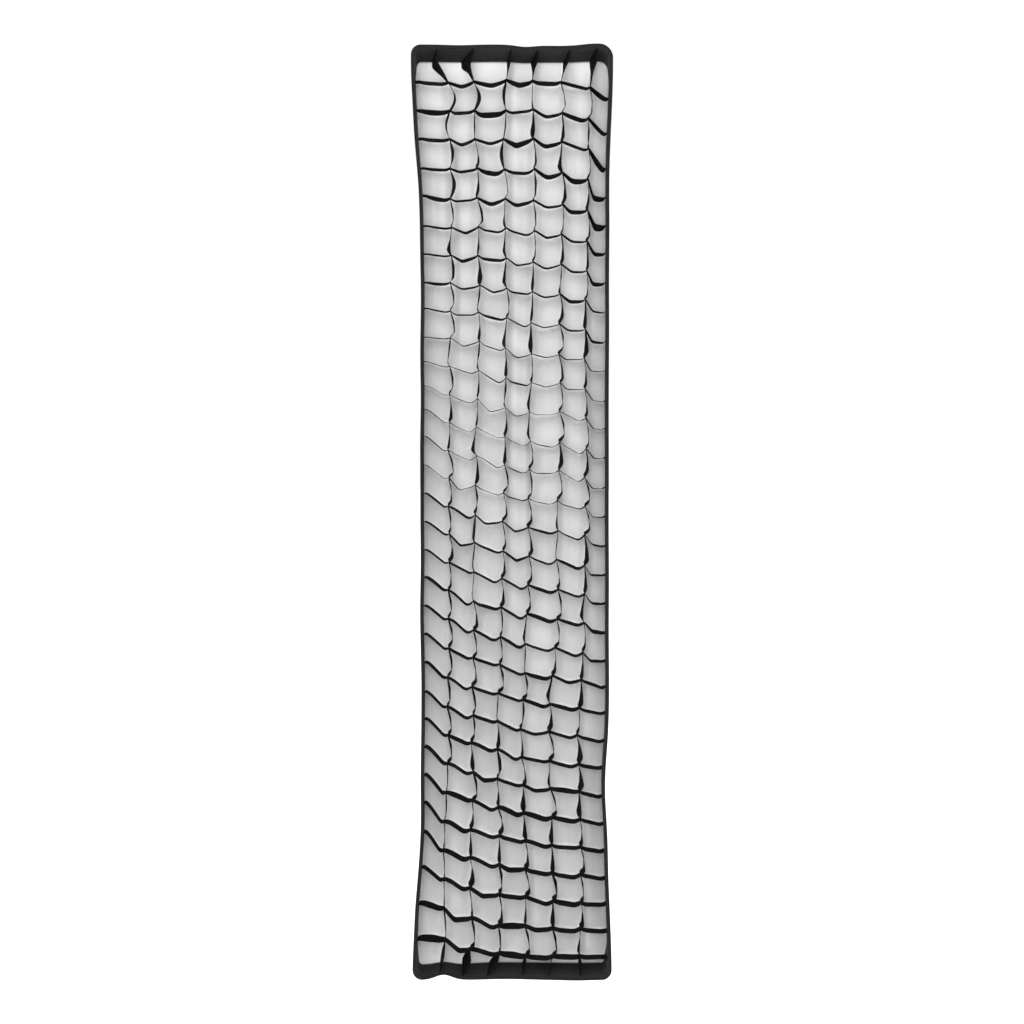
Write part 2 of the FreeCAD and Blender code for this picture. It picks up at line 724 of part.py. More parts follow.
def plate(points, place, along_z):
    """Extrude a comb outline into a strip standing at the given place."""
    half = STRIP_THICKNESS / 2
    if along_z:
        corners = [Vector(place - half, y, along) for along, y in points]
        thickness = X_AXIS * STRIP_THICKNESS
    else:
        corners = [Vector(along, y, place - half) for along, y in points]
        thickness = Z_AXIS * STRIP_THICKNESS
    return Part.Face(Part.makePolygon(corners + corners[:1])).extrude(thickness)


def grid_columns():
    return [(index - GRID_COLUMNS / 2) * GRID_PITCH_X for index in range(1, GRID_COLUMNS)]


def grid_rows():
    return [(index - GRID_ROWS / 2) * GRID_PITCH_Z for index in range(1, GRID_ROWS)]


def grid_long_strips():
    back = blend(LIP_H, GRID_BACK) - STRIP_INSET
    front = blend(LIP_H, GRID_FRONT) - STRIP_INSET
    points = comb(back, front, grid_rows(), False)
    return [plate(points, x, True) for x in grid_columns()]


def half_width(share, z):
    """Inside half width of the lip's bowed side at a height."""
    fraction = min(abs(z) / blend(LIP_H, share), 1.0)
    return blend(LIP_W_MID, share) + (blend(LIP_W, share) - blend(LIP_W_MID, share)) * fraction ** 2


def grid_cross_strips():
    strips = []
    for z in grid_rows():
        back = half_width(GRID_BACK, z) - STRIP_INSET
        front = half_width(GRID_FRONT, z) - STRIP_INSET
        strips.append(plate(comb(back, front, grid_columns(), True), z, False))
    return strips


# ---- write every node -----------------------------------------------------------------------------

os.makedirs("parts", exist_ok=True)

save("bayonet_insert", bayonet_insert())
save("speed_ring", speed_ring())
save("insert_clips", *at_corners(insert_clip()))
save("clip_screws", *clip_screws())
save("lock_bush", lock_bush())
save("brake_shoe", brake_shoe())
save("lock_screw", lock_screw())
save("lock_knob", lock_knob())
save("socket_screws", *socket_screws())
for quarter in QUARTERS:
    save(f"rod_socket_{quarter}", to_quarter(rod_socket(), quarter))
    save(f"rod_{quarter}", to_quarter(rod(), quarter))
save("rod_ferrules", *at_corners(rod_ferrule()))
save("rod_tips", *at_corners(rod_tip()))
save("corner_pockets", *at_corners(corner_pocket()))

SHELL_END = end_panel(0.0, SHELL_THICKNESS, SHELL_THICKNESS + 0.4)
SHELL_SIDE = side_panel(0.0, SHELL_THICKNESS, 0.1)
LINING_INSET = SHELL_THICKNESS + CLOTH_GAP
LINING_END = end_panel(LINING_INSET, LINING_THICKNESS, LINING_INSET + LINING_THICKNESS + 0.6)
LINING_SIDE = side_panel(LINING_INSET, LINING_THICKNESS, LINING_INSET + LINING_THICKNESS + 0.3)
save("shell_top", SHELL_END)
save("shell_bottom", SHELL_END.mirror(ORIGIN, Z_AXIS))
save("shell_right", SHELL_SIDE)
save("shell_left", SHELL_SIDE.mirror(ORIGIN, X_AXIS))
save("lining_top", LINING_END)
save("lining_bottom", LINING_END.mirror(ORIGIN, Z_AXIS))
save("lining_right", LINING_SIDE)
save("lining_left", LINING_SIDE.mirror(ORIGIN, X_AXIS))
save("corner_piping", *at_corners(corner_piping()))
save("neck", neck())
save("neck_strap", neck_strap())

save("front_lip", lip_ring(0.0, LIP_THICKNESS, 0.0, 0.96))
save("lip_binding", lip_ring(-0.3, LIP_THICKNESS + 0.8, 0.965, 1.0))
save("lip_loop_tape", lip_ring(LOOP_INSET, TAPE_THICKNESS, 0.04, 0.95))
save("front_diffuser", front_diffuser())
save("diffuser_border", lip_ring(HOOK_INSET, TAPE_THICKNESS, 0.08, 0.48))
save("inner_diffuser", inner_diffuser())
save("inner_diffuser_tabs", *inner_tabs())
save("snap_caps", *snap_caps())
save("anchor_loops", *anchor_loops())
save("snap_studs", *snap_studs())
save("grid_border", lip_ring(BORDER_INSET, STRIP_THICKNESS, GRID_BACK - 0.02, GRID_FRONT + 0.01))
save("grid_hook_tape", lip_ring(HOOK_INSET, TAPE_THICKNESS, 0.53, 0.93))
save("grid_long_strips", *grid_long_strips())
save("grid_cross_strips", *grid_cross_strips())
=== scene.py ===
import math

import bpy
import numpy as np
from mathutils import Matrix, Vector, noise


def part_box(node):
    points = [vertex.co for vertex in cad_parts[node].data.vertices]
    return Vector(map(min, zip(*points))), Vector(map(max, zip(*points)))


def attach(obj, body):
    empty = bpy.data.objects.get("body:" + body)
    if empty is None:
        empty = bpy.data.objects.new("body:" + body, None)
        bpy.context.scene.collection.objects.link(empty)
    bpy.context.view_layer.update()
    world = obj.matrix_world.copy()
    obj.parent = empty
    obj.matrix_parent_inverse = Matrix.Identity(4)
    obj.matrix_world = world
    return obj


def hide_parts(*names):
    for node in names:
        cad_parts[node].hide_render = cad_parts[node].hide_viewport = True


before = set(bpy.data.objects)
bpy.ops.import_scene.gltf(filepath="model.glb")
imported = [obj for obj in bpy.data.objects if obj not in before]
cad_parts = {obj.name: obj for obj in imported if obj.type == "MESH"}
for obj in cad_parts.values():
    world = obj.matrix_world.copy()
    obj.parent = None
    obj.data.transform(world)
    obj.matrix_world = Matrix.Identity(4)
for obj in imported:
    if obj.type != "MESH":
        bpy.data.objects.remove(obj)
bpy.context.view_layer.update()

# Strip softbox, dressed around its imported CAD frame. Metres. +Z runs along the long axis,
# the light leaves along -Y, and "left" and "right" are as seen from the lit front.

# ---- sizes that repeat the CAD ----
# A share runs along the lip's depth, from 0 at its base on the shell to 1 at its front edge.

FRONT_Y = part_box("lip_binding")[0].y
LIP_BASE_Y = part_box("front_lip")[1].y
LIP_W = (0.1705, 0.1715)        # half width at the lip's base and front edge
LIP_H = (0.782, 0.802)          # half height there
LIP_CORNER_R = (0.011, 0.015)
LIP_THICKNESS = 0.0014
LOOP_INSET = 0.0016             # the layers inside the lip, from its outer face
HOOK_INSET = 0.0029
BORDER_INSET = 0.0042
TAPE_THICKNESS = 0.0007
STRIP_THICKNESS = 0.0010
COLUMNS, ROWS = 7, 32
PITCH_X, PITCH_Z = 0.0455, 0.0495
BEND_START = np.array((0.0670, -0.0490, 0.1090))    # the top right rod's bowed stretch
BEND_END = np.array((0.1649, -0.3579, 0.7787))
BOW_ANGLE = 10.6                # degrees that a rod turns on the way
ROD_STOP = 0.972                # share of the bowed stretch where its tip rests
ROD_TO_SHELL = 0.0067
SHELL_THICKNESS = 0.0008
LINING_THICKNESS = 0.0004
LINING_INSET = 0.0011
END_SAG = 0.0070                # how far the panels sag inward between the rods
SIDE_SAG = 0.0090
PIPING_R = 0.0016
POCKET_R = 0.0046
NECK_THICKNESS = 0.0009
NECK_R = 0.0896
STRAP_R = (0.0900, 0.0918)
DIFFUSER_THICKNESS = 0.0005

# how the cloth front is pulled out of true by its own weight and tension
LEFT_PULL = (0.0150, 0.0155)    # inward at mid height, at the lip's base and front edge
RIGHT_PULL = (0.0055, 0.0060)
RIGHT_TUCK = 0.0005             # how much further in the shell's right side stands
SIDE_WOBBLE = 0.0012            # small unevenness of the long sides
BOTTOM_HANG = 0.0080            # how far the lip's base hangs at the bottom
RIGHT_DENT = 0.0060             # a further pull low on the right side
DENT_HEIGHT = -0.46
CORNER_DRAW = 0.0013            # how far the seams' front ends are drawn in, along X and Z
TOP_WAVES = ((-0.0034, 0.022, 0.022), (-0.0024, 0.080, 0.050), (0.0022, 0.140, 0.026),
             (-0.0012, -0.090, 0.030))      # height, place along X and reach of each
BOTTOM_WAVES = ((0.0090, -0.118, 0.020), (0.0016, -0.010, 0.050), (-0.0010, 0.110, 0.030))
WAVE_SHARES = (0.5, 1.0)        # how much of them the lip's base and front edge show
END_SHARPNESS = 24              # how quickly waves and hang die out away from the ends


# ---- small helpers ----

def lerp(pair, share):
    return pair[0] + (pair[1] - pair[0]) * share


def smooth(low, high, value):
    t = np.clip((np.asarray(value, float) - low) / (high - low), 0, 1)
    return t * t * (3 - 2 * t)


def hump(value, centre, width):
    return np.exp(-((np.asarray(value, float) - centre) / width) ** 2)


def unit(v):
    return v / np.linalg.norm(v, axis=-1, keepdims=True)


def ripple(a, b, seed):
    """Smooth noise from -1 to 1 over two coordinates already scaled to its wavelength."""
    a, b = np.broadcast_arrays(np.asarray(a, float), np.asarray(b, float))
    flat = [noise.noise(Vector((p, q, seed * 7.31))) for p, q in zip(a.ravel(), b.ravel())]
    return np.array(flat).reshape(a.shape) * 1.6


def arc_through(first, middle, last):
    """Point and direction at a share along the arc through three points."""
    a, b = middle - first, last - first
    normal = np.cross(a, b)
    centre = first + np.cross((a @ a) * b - (b @ b) * a, normal) / (2 * normal @ normal)
    e1 = unit(first - centre)
    e2 = unit(np.cross(normal, e1))
    radius = np.linalg.norm(first - centre)
    sweep = math.atan2((last - centre) @ e2, (last - centre) @ e1)

    def at(share):
        angle = np.asarray(share, float)[..., None] * sweep
        return centre + radius * (np.cos(angle) * e1 + np.sin(angle) * e2)

    def direction(share):
        angle = np.asarray(share, float)[..., None] * sweep
        return -np.sin(angle) * e1 + np.cos(angle) * e2

    return at, direction


# ---- meshes ----

def cloth_part(points, thickness, closed=False):
    """Thin closed sheet round a grid of middle points [along, across, xyz]."""
    p = np.asarray(points, float)
    nu, nv = p.shape[:2]
    du = np.roll(p, -1, 0) - np.roll(p, 1, 0) if closed else np.gradient(p, axis=0)
    half = unit(np.cross(du, np.gradient(p, axis=1))) * (thickness / 2)
    verts = np.concatenate([(p + half).reshape(-1, 3), (p - half).reshape(-1, 3)])
    faces, places = [], []

    def add(*corners):
        """Quads whose corners are given as layer, place along and place across."""
        faces.append(np.stack([(layer * nu + a % nu) * nv + b for layer, a, b in corners], 1))
        places.append(np.stack([np.stack([a, b], 1) for _, a, b in corners], 1))

    steps = nu if closed else nu - 1
    u, v = (k.ravel() for k in np.meshgrid(np.arange(steps), np.arange(nv - 1), indexing="ij"))
    add((0, u, v), (0, u + 1, v), (0, u + 1, v + 1), (0, u, v + 1))
    add((1, u, v), (1, u, v + 1), (1, u + 1, v + 1), (1, u + 1, v))
    a = np.arange(steps)
    for b, first, second in ((0 * a, 1, 0), (0 * a + nv - 1, 0, 1)):
        add((first, a, b), (first, a + 1, b), (second, a + 1, b), (second, a, b))
    if not closed:
        b = np.arange(nv - 1)
        for a, first, second in ((0 * b, 0, 1), (0 * b + nu - 1, 1, 0)):
            add((first, a, b), (first, a, b + 1), (second, a, b + 1), (second, a, b))
    faces, places = np.concatenate(faces), np.concatenate(places)
    looped = np.concatenate([p, p[:1]]) if closed else p
    rungs = np.linalg.norm(np.diff(looped, axis=0), axis=2).mean(1)
    along = np.concatenate([[0], np.cumsum(rungs)])
    gaps = np.linalg.norm(np.diff(p, axis=1), axis=2)
    across = np.concatenate([np.zeros((nu, 1)), np.cumsum(gaps, 1)], 1)
    width = across[:, -1:]
    a, b = places[..., 0], places[..., 1]
    uv = np.stack([along[a], (across - width / 2)[a % nu, b]], -1).reshape(-1, 2)
    side_edge = np.minimum(across, width - across).ravel()
    end_edge = np.full(nu, 1.0) if closed else np.minimum(along, along[-1] - along)
    end_edge = np.repeat(end_edge, nv)
    is_smooth = np.arange(len(faces)) < 2 * len(u)
    return verts, faces, uv, is_smooth, np.tile(side_edge, 2), np.tile(end_edge, 2)


def tube_part(path, radius, sides):
    """Closed round tube along a path of points; the radius may change along it."""
    n = len(path)
    radius = np.broadcast_to(np.asarray(radius, float), n)
    tangent = unit(np.gradient(path, axis=0))
    e1 = unit(np.cross(tangent, (0.0, 1.0, 0.0)))
    e2 = np.cross(tangent, e1)
    angle = np.arange(sides) * 2 * math.pi / sides
    ring = np.cos(angle)[None, :, None] * e1[:, None] + np.sin(angle)[None, :, None] * e2[:, None]
    verts = (path[:, None] + ring * radius[:, None, None]).reshape(-1, 3)
    verts = np.concatenate([verts, path[:1], path[-1:]])
    along = np.concatenate([[0], np.cumsum(np.linalg.norm(np.diff(path, axis=0), axis=1))])
    girth = 2 * math.pi * float(radius.mean()) / sides
    faces, uv = [], []
    for i in range(n - 1):
        for k in range(sides):
            m = (k + 1) % sides
            faces.append((i * sides + k, i * sides + m, (i + 1) * sides + m, (i + 1) * sides + k))
            uv += [(along[i], k * girth), (along[i], (k + 1) * girth),
                   (along[i + 1], (k + 1) * girth), (along[i + 1], k * girth)]
    for k in range(sides):
        m = (k + 1) % sides
        faces += [(n * sides, m, k), (n * sides + 1, (n - 1) * sides + k, (n - 1) * sides + m)]
        uv += [(0, 0)] * 6
    ones = np.ones(len(verts))
    return verts, faces, np.array(uv), np.ones(len(faces), bool), ones, ones


def new_object(name, data):
    obj = bpy.data.objects.new(name, data)
    bpy.context.scene.collection.objects.link(obj)
    return obj


def put(name, parts, material, body, nodes):
    """Makes a piece of one or more parts, which rides on a body and stands for CAD nodes."""
    faces, start = [], 0
    for part in parts:
        faces += [[int(k) + start for k in face] for face in part[1]]
        start += len(part[0])
    verts, uv, is_smooth, side_edge, end_edge = (
        np.concatenate([part[k] for part in parts]) for k in (0, 2, 3, 4, 5))
    mesh = bpy.data.meshes.new(name)
    mesh.from_pydata(verts.tolist(), [], faces)
    mesh.uv_layers.new(name="cloth").data.foreach_set("uv", uv.astype(np.float32).ravel())
    mesh.polygons.foreach_set("use_smooth", is_smooth)
    for label, values in (("side_edge", side_edge), ("end_edge", end_edge)):
        attribute = mesh.attributes.new(label, "FLOAT", "POINT")
        attribute.data.foreach_set("value", values.astype(np.float32))
    mesh.materials.append(material)
    mesh.update()
    obj = new_object(name, mesh)
    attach(obj, body)
    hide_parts(*nodes)
    return obj


# ---- materials ----

def grey(level, blue=None):
    """Linear RGB from thousandths, with its own blue where given."""
    return (level / 1000, level / 1000, (blue or level) / 1000)


class Shader:
    """A principled material built from nodes."""

    def __init__(self, name, roughness, metallic=0.0, sheen=0.0, specular=0.5):
        self.mat = bpy.data.materials.new(name)
        self.mat.use_nodes = True
        self.tree = self.mat.node_tree
        self.tree.nodes.clear()
        output = self.tree.nodes.new("ShaderNodeOutputMaterial")
        self.bsdf = self.tree.nodes.new("ShaderNodeBsdfPrincipled")
        self.feed(output.inputs["Surface"], self.bsdf.outputs["BSDF"])
        self.set("Roughness", roughness)
        self.set("Metallic", metallic)
        self.set("Specular IOR Level", specular)
        if sheen:
            self.set("Sheen Weight", sheen)
            self.set("Sheen Roughness", 0.5)

    def feed(self, socket, value):
        if isinstance(value, bpy.types.NodeSocket):
            self.tree.links.new(value, socket)
        else:
            socket.default_value = value

    def set(self, key, value):
        self.feed(self.bsdf.inputs[key], value)

    def node(self, kind, inputs=(), **settings):
        made = self.tree.nodes.new(kind)
        for key, value in settings.items():
            setattr(made, key, value)
        for key, value in dict(inputs).items():
            self.feed(made.inputs[key], value)
        return made

    def math(self, operation, a, b=0.0):
        return self.node("ShaderNodeMath", {0: a, 1: b}, operation=operation).outputs[0]

    def plus(self, a, b):
        return self.math("ADD", a, b)

    def times(self, a, b):
        return self.math("MULTIPLY", a, b)

    def sine(self, value, period):
        return self.math("SINE", self.times(value, 2 * math.pi / period))

    def noise(self, scale, detail, stretch=None):
        vector = self.node("ShaderNodeTexCoord").outputs["Object"]
        if stretch:
            vector = self.node("ShaderNodeMapping", {"Vector": vector, "Scale": stretch}).outputs[0]
        made = self.node("ShaderNodeTexNoise", {"Vector": vector, "Scale": scale, "Detail": detail})
        return made.outputs[0]

    def ramp(self, value, low, high):
        """Value moved from low..high to 0..1, with soft ends."""
        made = self.node("ShaderNodeMapRange", {"Value": value, "From Min": low, "From Max": high},
                         interpolation_type="SMOOTHSTEP")
        return made.outputs[0]

    def mix(self, share, low, high):
        """From one colour to another by a share; each is an RGB tuple or a socket."""
        low, high = ((*c, 1) if isinstance(c, tuple) else c for c in (low, high))
        return self.node("ShaderNodeMix", {0: share, 6: low, 7: high}, data_type="RGBA").outputs[2]

    def bump(self, height, distance, strength=1.0, under=None):
        inputs = {"Height": height, "Distance": distance, "Strength": strength}
        if under:
            inputs["Normal"] = under
        return self.node("ShaderNodeBump", inputs).outputs[0]

    def cloth_uv(self):
        uv = self.node("ShaderNodeUVMap", uv_map="cloth").outputs[0]
        parts = self.node("ShaderNodeSeparateXYZ", {0: uv})
        return parts.outputs[0], parts.outputs[1]

    def edge(self, label):
        """Distance from a sheet's side or end edges, which its mesh holds."""
        return self.node("ShaderNodeAttribute", attribute_name=label).outputs["Fac"]

    def stitches(self, offset, length, rows):
        """Dashed seams that run at an offset inside the sheet's edges."""
        place_on = self.cloth_uv()
        total = None
        for label, run in rows:
            aside = self.math("ABSOLUTE", self.math("SUBTRACT", self.edge(label), offset))
            near = self.ramp(aside, *STITCH_WIDTH)
            place = self.math("FRACT", self.math("DIVIDE", place_on[run], length))
            middle = self.math("ABSOLUTE", self.math("SUBTRACT", place, 0.5))
            line = self.times(near, self.ramp(middle, *STITCH_LENGTH))
            total = line if total is None else self.math("MAXIMUM", total, line)
        return total


STITCH_WIDTH = (0.0006, 0.0002)     # from the seam's line: where a stitch ends and is full
STITCH_LENGTH = (0.38, 0.30)        # the same from a stitch's middle, in stitch lengths
SIDE_SEAMS = (("side_edge", 0),)    # an edge and the cloth coordinate that runs along it
ALL_SEAMS = (("side_edge", 0), ("end_edge", 1))
PAINTED_EDGE_SHADE = 0.82                    # painted shade: how much darker the cloth is painted along its side edges, where the walls round it shade it


def woven(name, dark, light, pitch, seams, roughness=0.85, sheen=0.25, seam_offset=0.005,
          thread=grey(50), crease=0.0003, specular=0.3, painted_shade_reach=0.0):
    """Plain-woven cloth: threads over and under, uneven dye, faint creases, sewn edges, and where
    asked, painted shade along the side edges.
    """
    s = Shader(name, roughness, sheen=sheen, specular=specular)
    u, v = s.cloth_uv()
    over = s.times(s.sine(u, pitch), s.sine(v, pitch))
    threads = s.times(s.plus(over, 1.0), 0.5)
    patches = s.ramp(s.noise(9.0, 5.0), 0.3, 0.7)
    lint = s.ramp(s.noise(420.0, 2.0), 0.45, 0.75)
    uneven = s.plus(patches, s.times(lint, 0.5))
    total = s.plus(uneven, s.times(threads, 0.6))
    colour = s.mix(s.times(total, 0.48), dark, light)
    # painted shade: the colour darkens towards the side edges, standing in for the shade that the
    # walls round the sheet cast
    if painted_shade_reach:
        near = s.ramp(s.edge("side_edge"), painted_shade_reach, painted_shade_reach * 0.25)
        colour = s.mix(near, colour, tuple(PAINTED_EDGE_SHADE * part for part in dark))
    normal = s.bump(s.noise(38.0, 4.0), crease)
    normal = s.bump(threads, pitch * 0.35, 0.5, normal)
    line = s.stitches(seam_offset, 0.0042, seams)
    s.set("Base Color", s.mix(line, colour, thread))
    s.set("Normal", s.bump(line, 0.0005, 0.8, normal))
    s.set("Roughness", s.plus(s.times(threads, 0.08), roughness - 0.04))
    return s.mat


def webbing(name, dark, light, rib, sheen=0.2, specular=0.35):
    """Narrow woven tape with ribs along it, twill across and a seam inside each edge."""
    s = Shader(name, 0.75, sheen=sheen, specular=specular)
    u, v = s.cloth_uv()
    ribs = s.math("ABSOLUTE", s.sine(v, rib * 2))
    twill = s.math("ABSOLUTE", s.sine(s.plus(u, v), rib * 1.6))
    height = s.plus(ribs, s.times(twill, 0.5))
    wear = s.ramp(s.noise(60.0, 4.0), 0.35, 0.75)
    tone = s.plus(s.times(height, 0.35), s.times(wear, 0.4))
    colour = s.mix(tone, dark, light)
    line = s.stitches(0.0022, 0.0036, SIDE_SEAMS)
    s.set("Base Color", s.mix(line, colour, grey(45, 46)))
    s.set("Normal", s.bump(line, 0.0005, 0.8, s.bump(height, rib * 0.3, 0.6)))
    return s.mat


def pile(name, dark, light, scale):
    """Hook or loop tape: a dense, matt, uneven pile."""
    s = Shader(name, 0.95, sheen=0.5, specular=0.2)
    tufts = s.noise(scale, 4.0)
    s.set("Base Color", s.mix(s.ramp(tufts, 0.3, 0.75), dark, light))
    s.set("Normal", s.bump(tufts, 0.0008, 0.9))
    return s.mat


def coated(name, dark, light, roughness, grain, depth):
    """Powder coat or moulded plastic: fine grain and rubbed patches."""
    s = Shader(name, roughness)
    fine = s.noise(grain, 3.0)
    rub = s.ramp(s.noise(45.0, 6.0), 0.45, 0.75)
    s.set("Base Color", s.mix(rub, dark, light))
    s.set("Roughness", s.math("SUBTRACT", roughness + 0.05, s.times(rub, 0.15)))
    s.set("Normal", s.bump(fine, depth, 0.6))
    return s.mat


def metal(name, dark, light, roughness, stretch):
    """Metal with fine lines along one direction and dull patches."""
    s = Shader(name, roughness, metallic=1.0)
    lines = s.noise(900.0, 2.0, stretch)
    tarnish = s.ramp(s.noise(30.0, 5.0), 0.35, 0.7)
    s.set("Base Color", s.mix(tarnish, dark, light))
    s.set("Roughness", s.plus(roughness - 0.08, s.times(lines, 0.18)))
    s.set("Normal", s.bump(lines, 0.00004, 0.5))
    return s.mat


SHELL_CLOTH = woven("shell_cloth", grey(9, 10), grey(24, 26), 0.0011, ALL_SEAMS)
LIP_CLOTH = woven("lip_cloth", grey(6), grey(18, 19), 0.0011, SIDE_SEAMS, seam_offset=0.004,
                  thread=grey(22, 23), sheen=0.04, specular=0.12)
GRID_CLOTH = woven("grid_cloth", grey(3), grey(9, 10), 0.0009, SIDE_SEAMS, seam_offset=0.003,
                   thread=grey(12, 13), sheen=0.0, specular=0.03)
BORDER_CLOTH = woven("border_cloth", grey(4), grey(23, 24), 0.0011, SIDE_SEAMS,
                     seam_offset=0.003, thread=grey(30, 31), sheen=0.06, specular=0.12)
SILVER_CLOTH = woven("silver_cloth", grey(420, 430), grey(660, 670), 0.0009, ALL_SEAMS,
                     roughness=0.42, thread=grey(350), sheen=0.0, specular=0.8, crease=0.0012)
# both diffusers get painted shade along their side edges, within 4 cm of them
DIFFUSER_CLOTH = woven("diffuser_cloth", grey(830), grey(900), 0.0008, ALL_SEAMS,
                       roughness=0.8, thread=grey(750), sheen=0.1, painted_shade_reach=0.040)
BINDING = webbing("binding_tape", grey(3), grey(10, 11), 0.0009, sheen=0.06, specular=0.15)
WEBBING = webbing("webbing", grey(12), grey(32, 33), 0.0011)
HOOK_TAPE = pile("hook_tape", grey(8), grey(22, 23), 1500.0)
LOOP_TAPE = pile("loop_tape", grey(10), grey(26, 27), 900.0)
RING_COAT = coated("ring_powder_coat", grey(16, 17), grey(34, 35), 0.5, 1300.0, 0.00012)
KNOB_PLASTIC = coated("knob_plastic", grey(14), grey(28), 0.55, 1800.0, 0.00010)
NYLON = coated("nylon", grey(20, 21), grey(40, 41), 0.6, 700.0, 0.00008)
PLATED_STEEL = metal("plated_steel", grey(360, 370), grey(500, 510), 0.34, (1.0, 9.0, 1.0))
ROD_STEEL = metal("rod_steel", grey(300, 310), grey(480, 490), 0.38, (6.0, 6.0, 0.4))
BRASS = metal("turned_brass", (0.58, 0.42, 0.17), (0.76, 0.58, 0.27), 0.30, (9.0, 1.0, 1.0))
STUD_METAL = metal("press_stud", grey(620, 630), grey(800, 810), 0.20, (1.0, 4.0, 1.0))

CORNERS = {"top_right": (1, 1), "top_left": (-1, 1), "bottom_left": (-1, -1),
           "bottom_right": (1, -1)}       # the signs of X and Z there
CAD_LOOKS = (
    (PLATED_STEEL, ["bayonet_insert", "insert_clips", "clip_screws", "lock_screw",
                    "socket_screws", "rod_ferrules"]),
    (RING_COAT, ["speed_ring", *(f"rod_socket_{corner}" for corner in CORNERS)]),
    (ROD_STEEL, [f"rod_{corner}" for corner in CORNERS]),
    (NYLON, ["brake_shoe", "rod_tips"]),
    (STUD_METAL, ["snap_caps", "snap_studs"]),
    (BRASS, ["lock_bush"]),
    (KNOB_PLASTIC, ["lock_knob"]),
)
for look, nodes in CAD_LOOKS:
    for node in nodes:
        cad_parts[node].data.materials.clear()
        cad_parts[node].data.materials.append(look)


# ---- the front's shape, shared by lip, diffuser and grid ----

def lip_y(share):
    return lerp((LIP_BASE_Y, FRONT_Y), share)


def side_pull(x, z, share):
    """Inward pull of the long sides at a height."""
    z = np.asarray(z, float)
    zn = z / LIP_H[1]
    calm = smooth(1.0, 0.8, np.abs(zn))
    left = lerp(LEFT_PULL, share) * smooth(0.96, 0.60, zn) * smooth(-1.02, -0.60, zn)
    left = left + SIDE_WOBBLE * ripple(z * 9, 0.4, 3) * calm
    right = lerp(RIGHT_PULL, share) * smooth(0.98, 0.66, zn) * smooth(-1.0, -0.74, zn)
    right = right + RIGHT_DENT * hump(z, DENT_HEIGHT, 0.085)
    right = right + SIDE_WOBBLE * ripple(z * 8, 2.7, 5) * calm
    return np.where(np.asarray(x) < 0, left, right)


def end_wave(x, z):
    """Waves in the top and bottom edges."""
    top, bottom = (sum(size * hump(x, place, reach) for size, place, reach in waves)
                   for waves in (TOP_WAVES, BOTTOM_WAVES))
    return np.where(np.asarray(z) > 0, top, bottom)


def end_move(x, z, share):
    """How far the top and bottom edges stand above true."""
    return end_wave(x, z) * lerp(WAVE_SHARES, share) - lerp((BOTTOM_HANG, 0.0), share) * (z < 0)


def at_end(z, share):
    """1 at the top and bottom edges, dying out over a few centimetres."""
    return (np.abs(z) / lerp(LIP_H, share)) ** END_SHARPNESS


def settle(x, z, share):
    """Moves points of the true rounded rectangle to where the cloth pulls them."""
    x, z = np.asarray(x, float), np.asarray(z, float)
    reach = np.abs(x) / lerp(LIP_W, share)
    moved = x - np.sign(x) * side_pull(x, z, share) * reach
    return moved, z + end_move(x, z, share) * at_end(z, share)


def rounded_loop(half_w, half_h, radii, steps=(150, 10, 56)):
    """Closed outline from the right side upwards; radii are for the corners in turn."""
    side_steps, corner_steps, end_steps = steps
    points = []
    for k, (r, (right, up)) in enumerate(zip(radii, CORNERS.values())):
        cx, cz, last = right * (half_w - r), up * (half_h - r), radii[k - 1]
        if k % 2:
            count, a, b = end_steps, (right * (last - half_w), up * half_h), (cx, up * half_h)
        else:
            count, a, b = side_steps, (right * half_w, up * (last - half_h)), (right * half_w, cz)
        points += [[p + (q - p) * m / count for p, q in zip(a, b)] for m in range(count)]
        for m in range(corner_steps):
            angle = math.radians(90 * k + 90 * m / corner_steps)
            points.append([cx + r * math.cos(angle), cz + r * math.sin(angle)])
    return np.array(points)


CORNER_SOFTNESS = (0.007, 0.001, 0.002, 0.002)      # added to the corner radii
CORNER_PINCH = (0.3, 1.0)       # what is left of them at the lip's base and further forward


def lip_loop(share, inset):
    """Outline of the flared lip at a share of its depth."""
    inside = np.clip(share, 0, 1)
    pinch = lerp(CORNER_PINCH, float(smooth(-0.06, 0.05, share)))
    radii = [(lerp(LIP_CORNER_R, inside) + more - inset * 0.6) * pinch
             for more in CORNER_SOFTNESS]
    loop = rounded_loop(lerp(LIP_W, inside) - inset, lerp(LIP_H, inside) - inset, radii)
    x, z = settle(loop[:, 0], loop[:, 1], inside)
    return np.stack([x, np.full(len(x), lip_y(share)), z], 1)


def lip_band(back, front, inset, depth_steps, puff=None):
    """Middle points of a band that follows the lip, from back to front."""
    rows = [lip_loop(share, inset) for share in np.linspace(back, front, depth_steps)]
    band = np.stack(rows, 1)
    if puff is not None:
        run = unit(np.roll(band, -1, 0) - np.roll(band, 1, 0))
        outward = unit(np.stack([run[..., 2], 0 * run[..., 0], -run[..., 0]], -1))
        band = band + outward * puff(band)[..., None]
    return band


def tape(back, front, inset, depth_steps):
    """Hook or loop tape sewn round the inside of the lip."""
    return [cloth_part(lip_band(back, front, inset, depth_steps), TAPE_THICKNESS, True)]


# ---- front lip ----

def lip_puff(band):
    """Shallow waves of the unsupported lip between its seams."""
    around = band[..., 2] + band[..., 0] * 1.7
    share = np.linspace(0, 1, band.shape[1])[None, :]
    return 0.0009 * ripple(around * 16, share * 1.4, 11) * np.sin(math.pi * share)


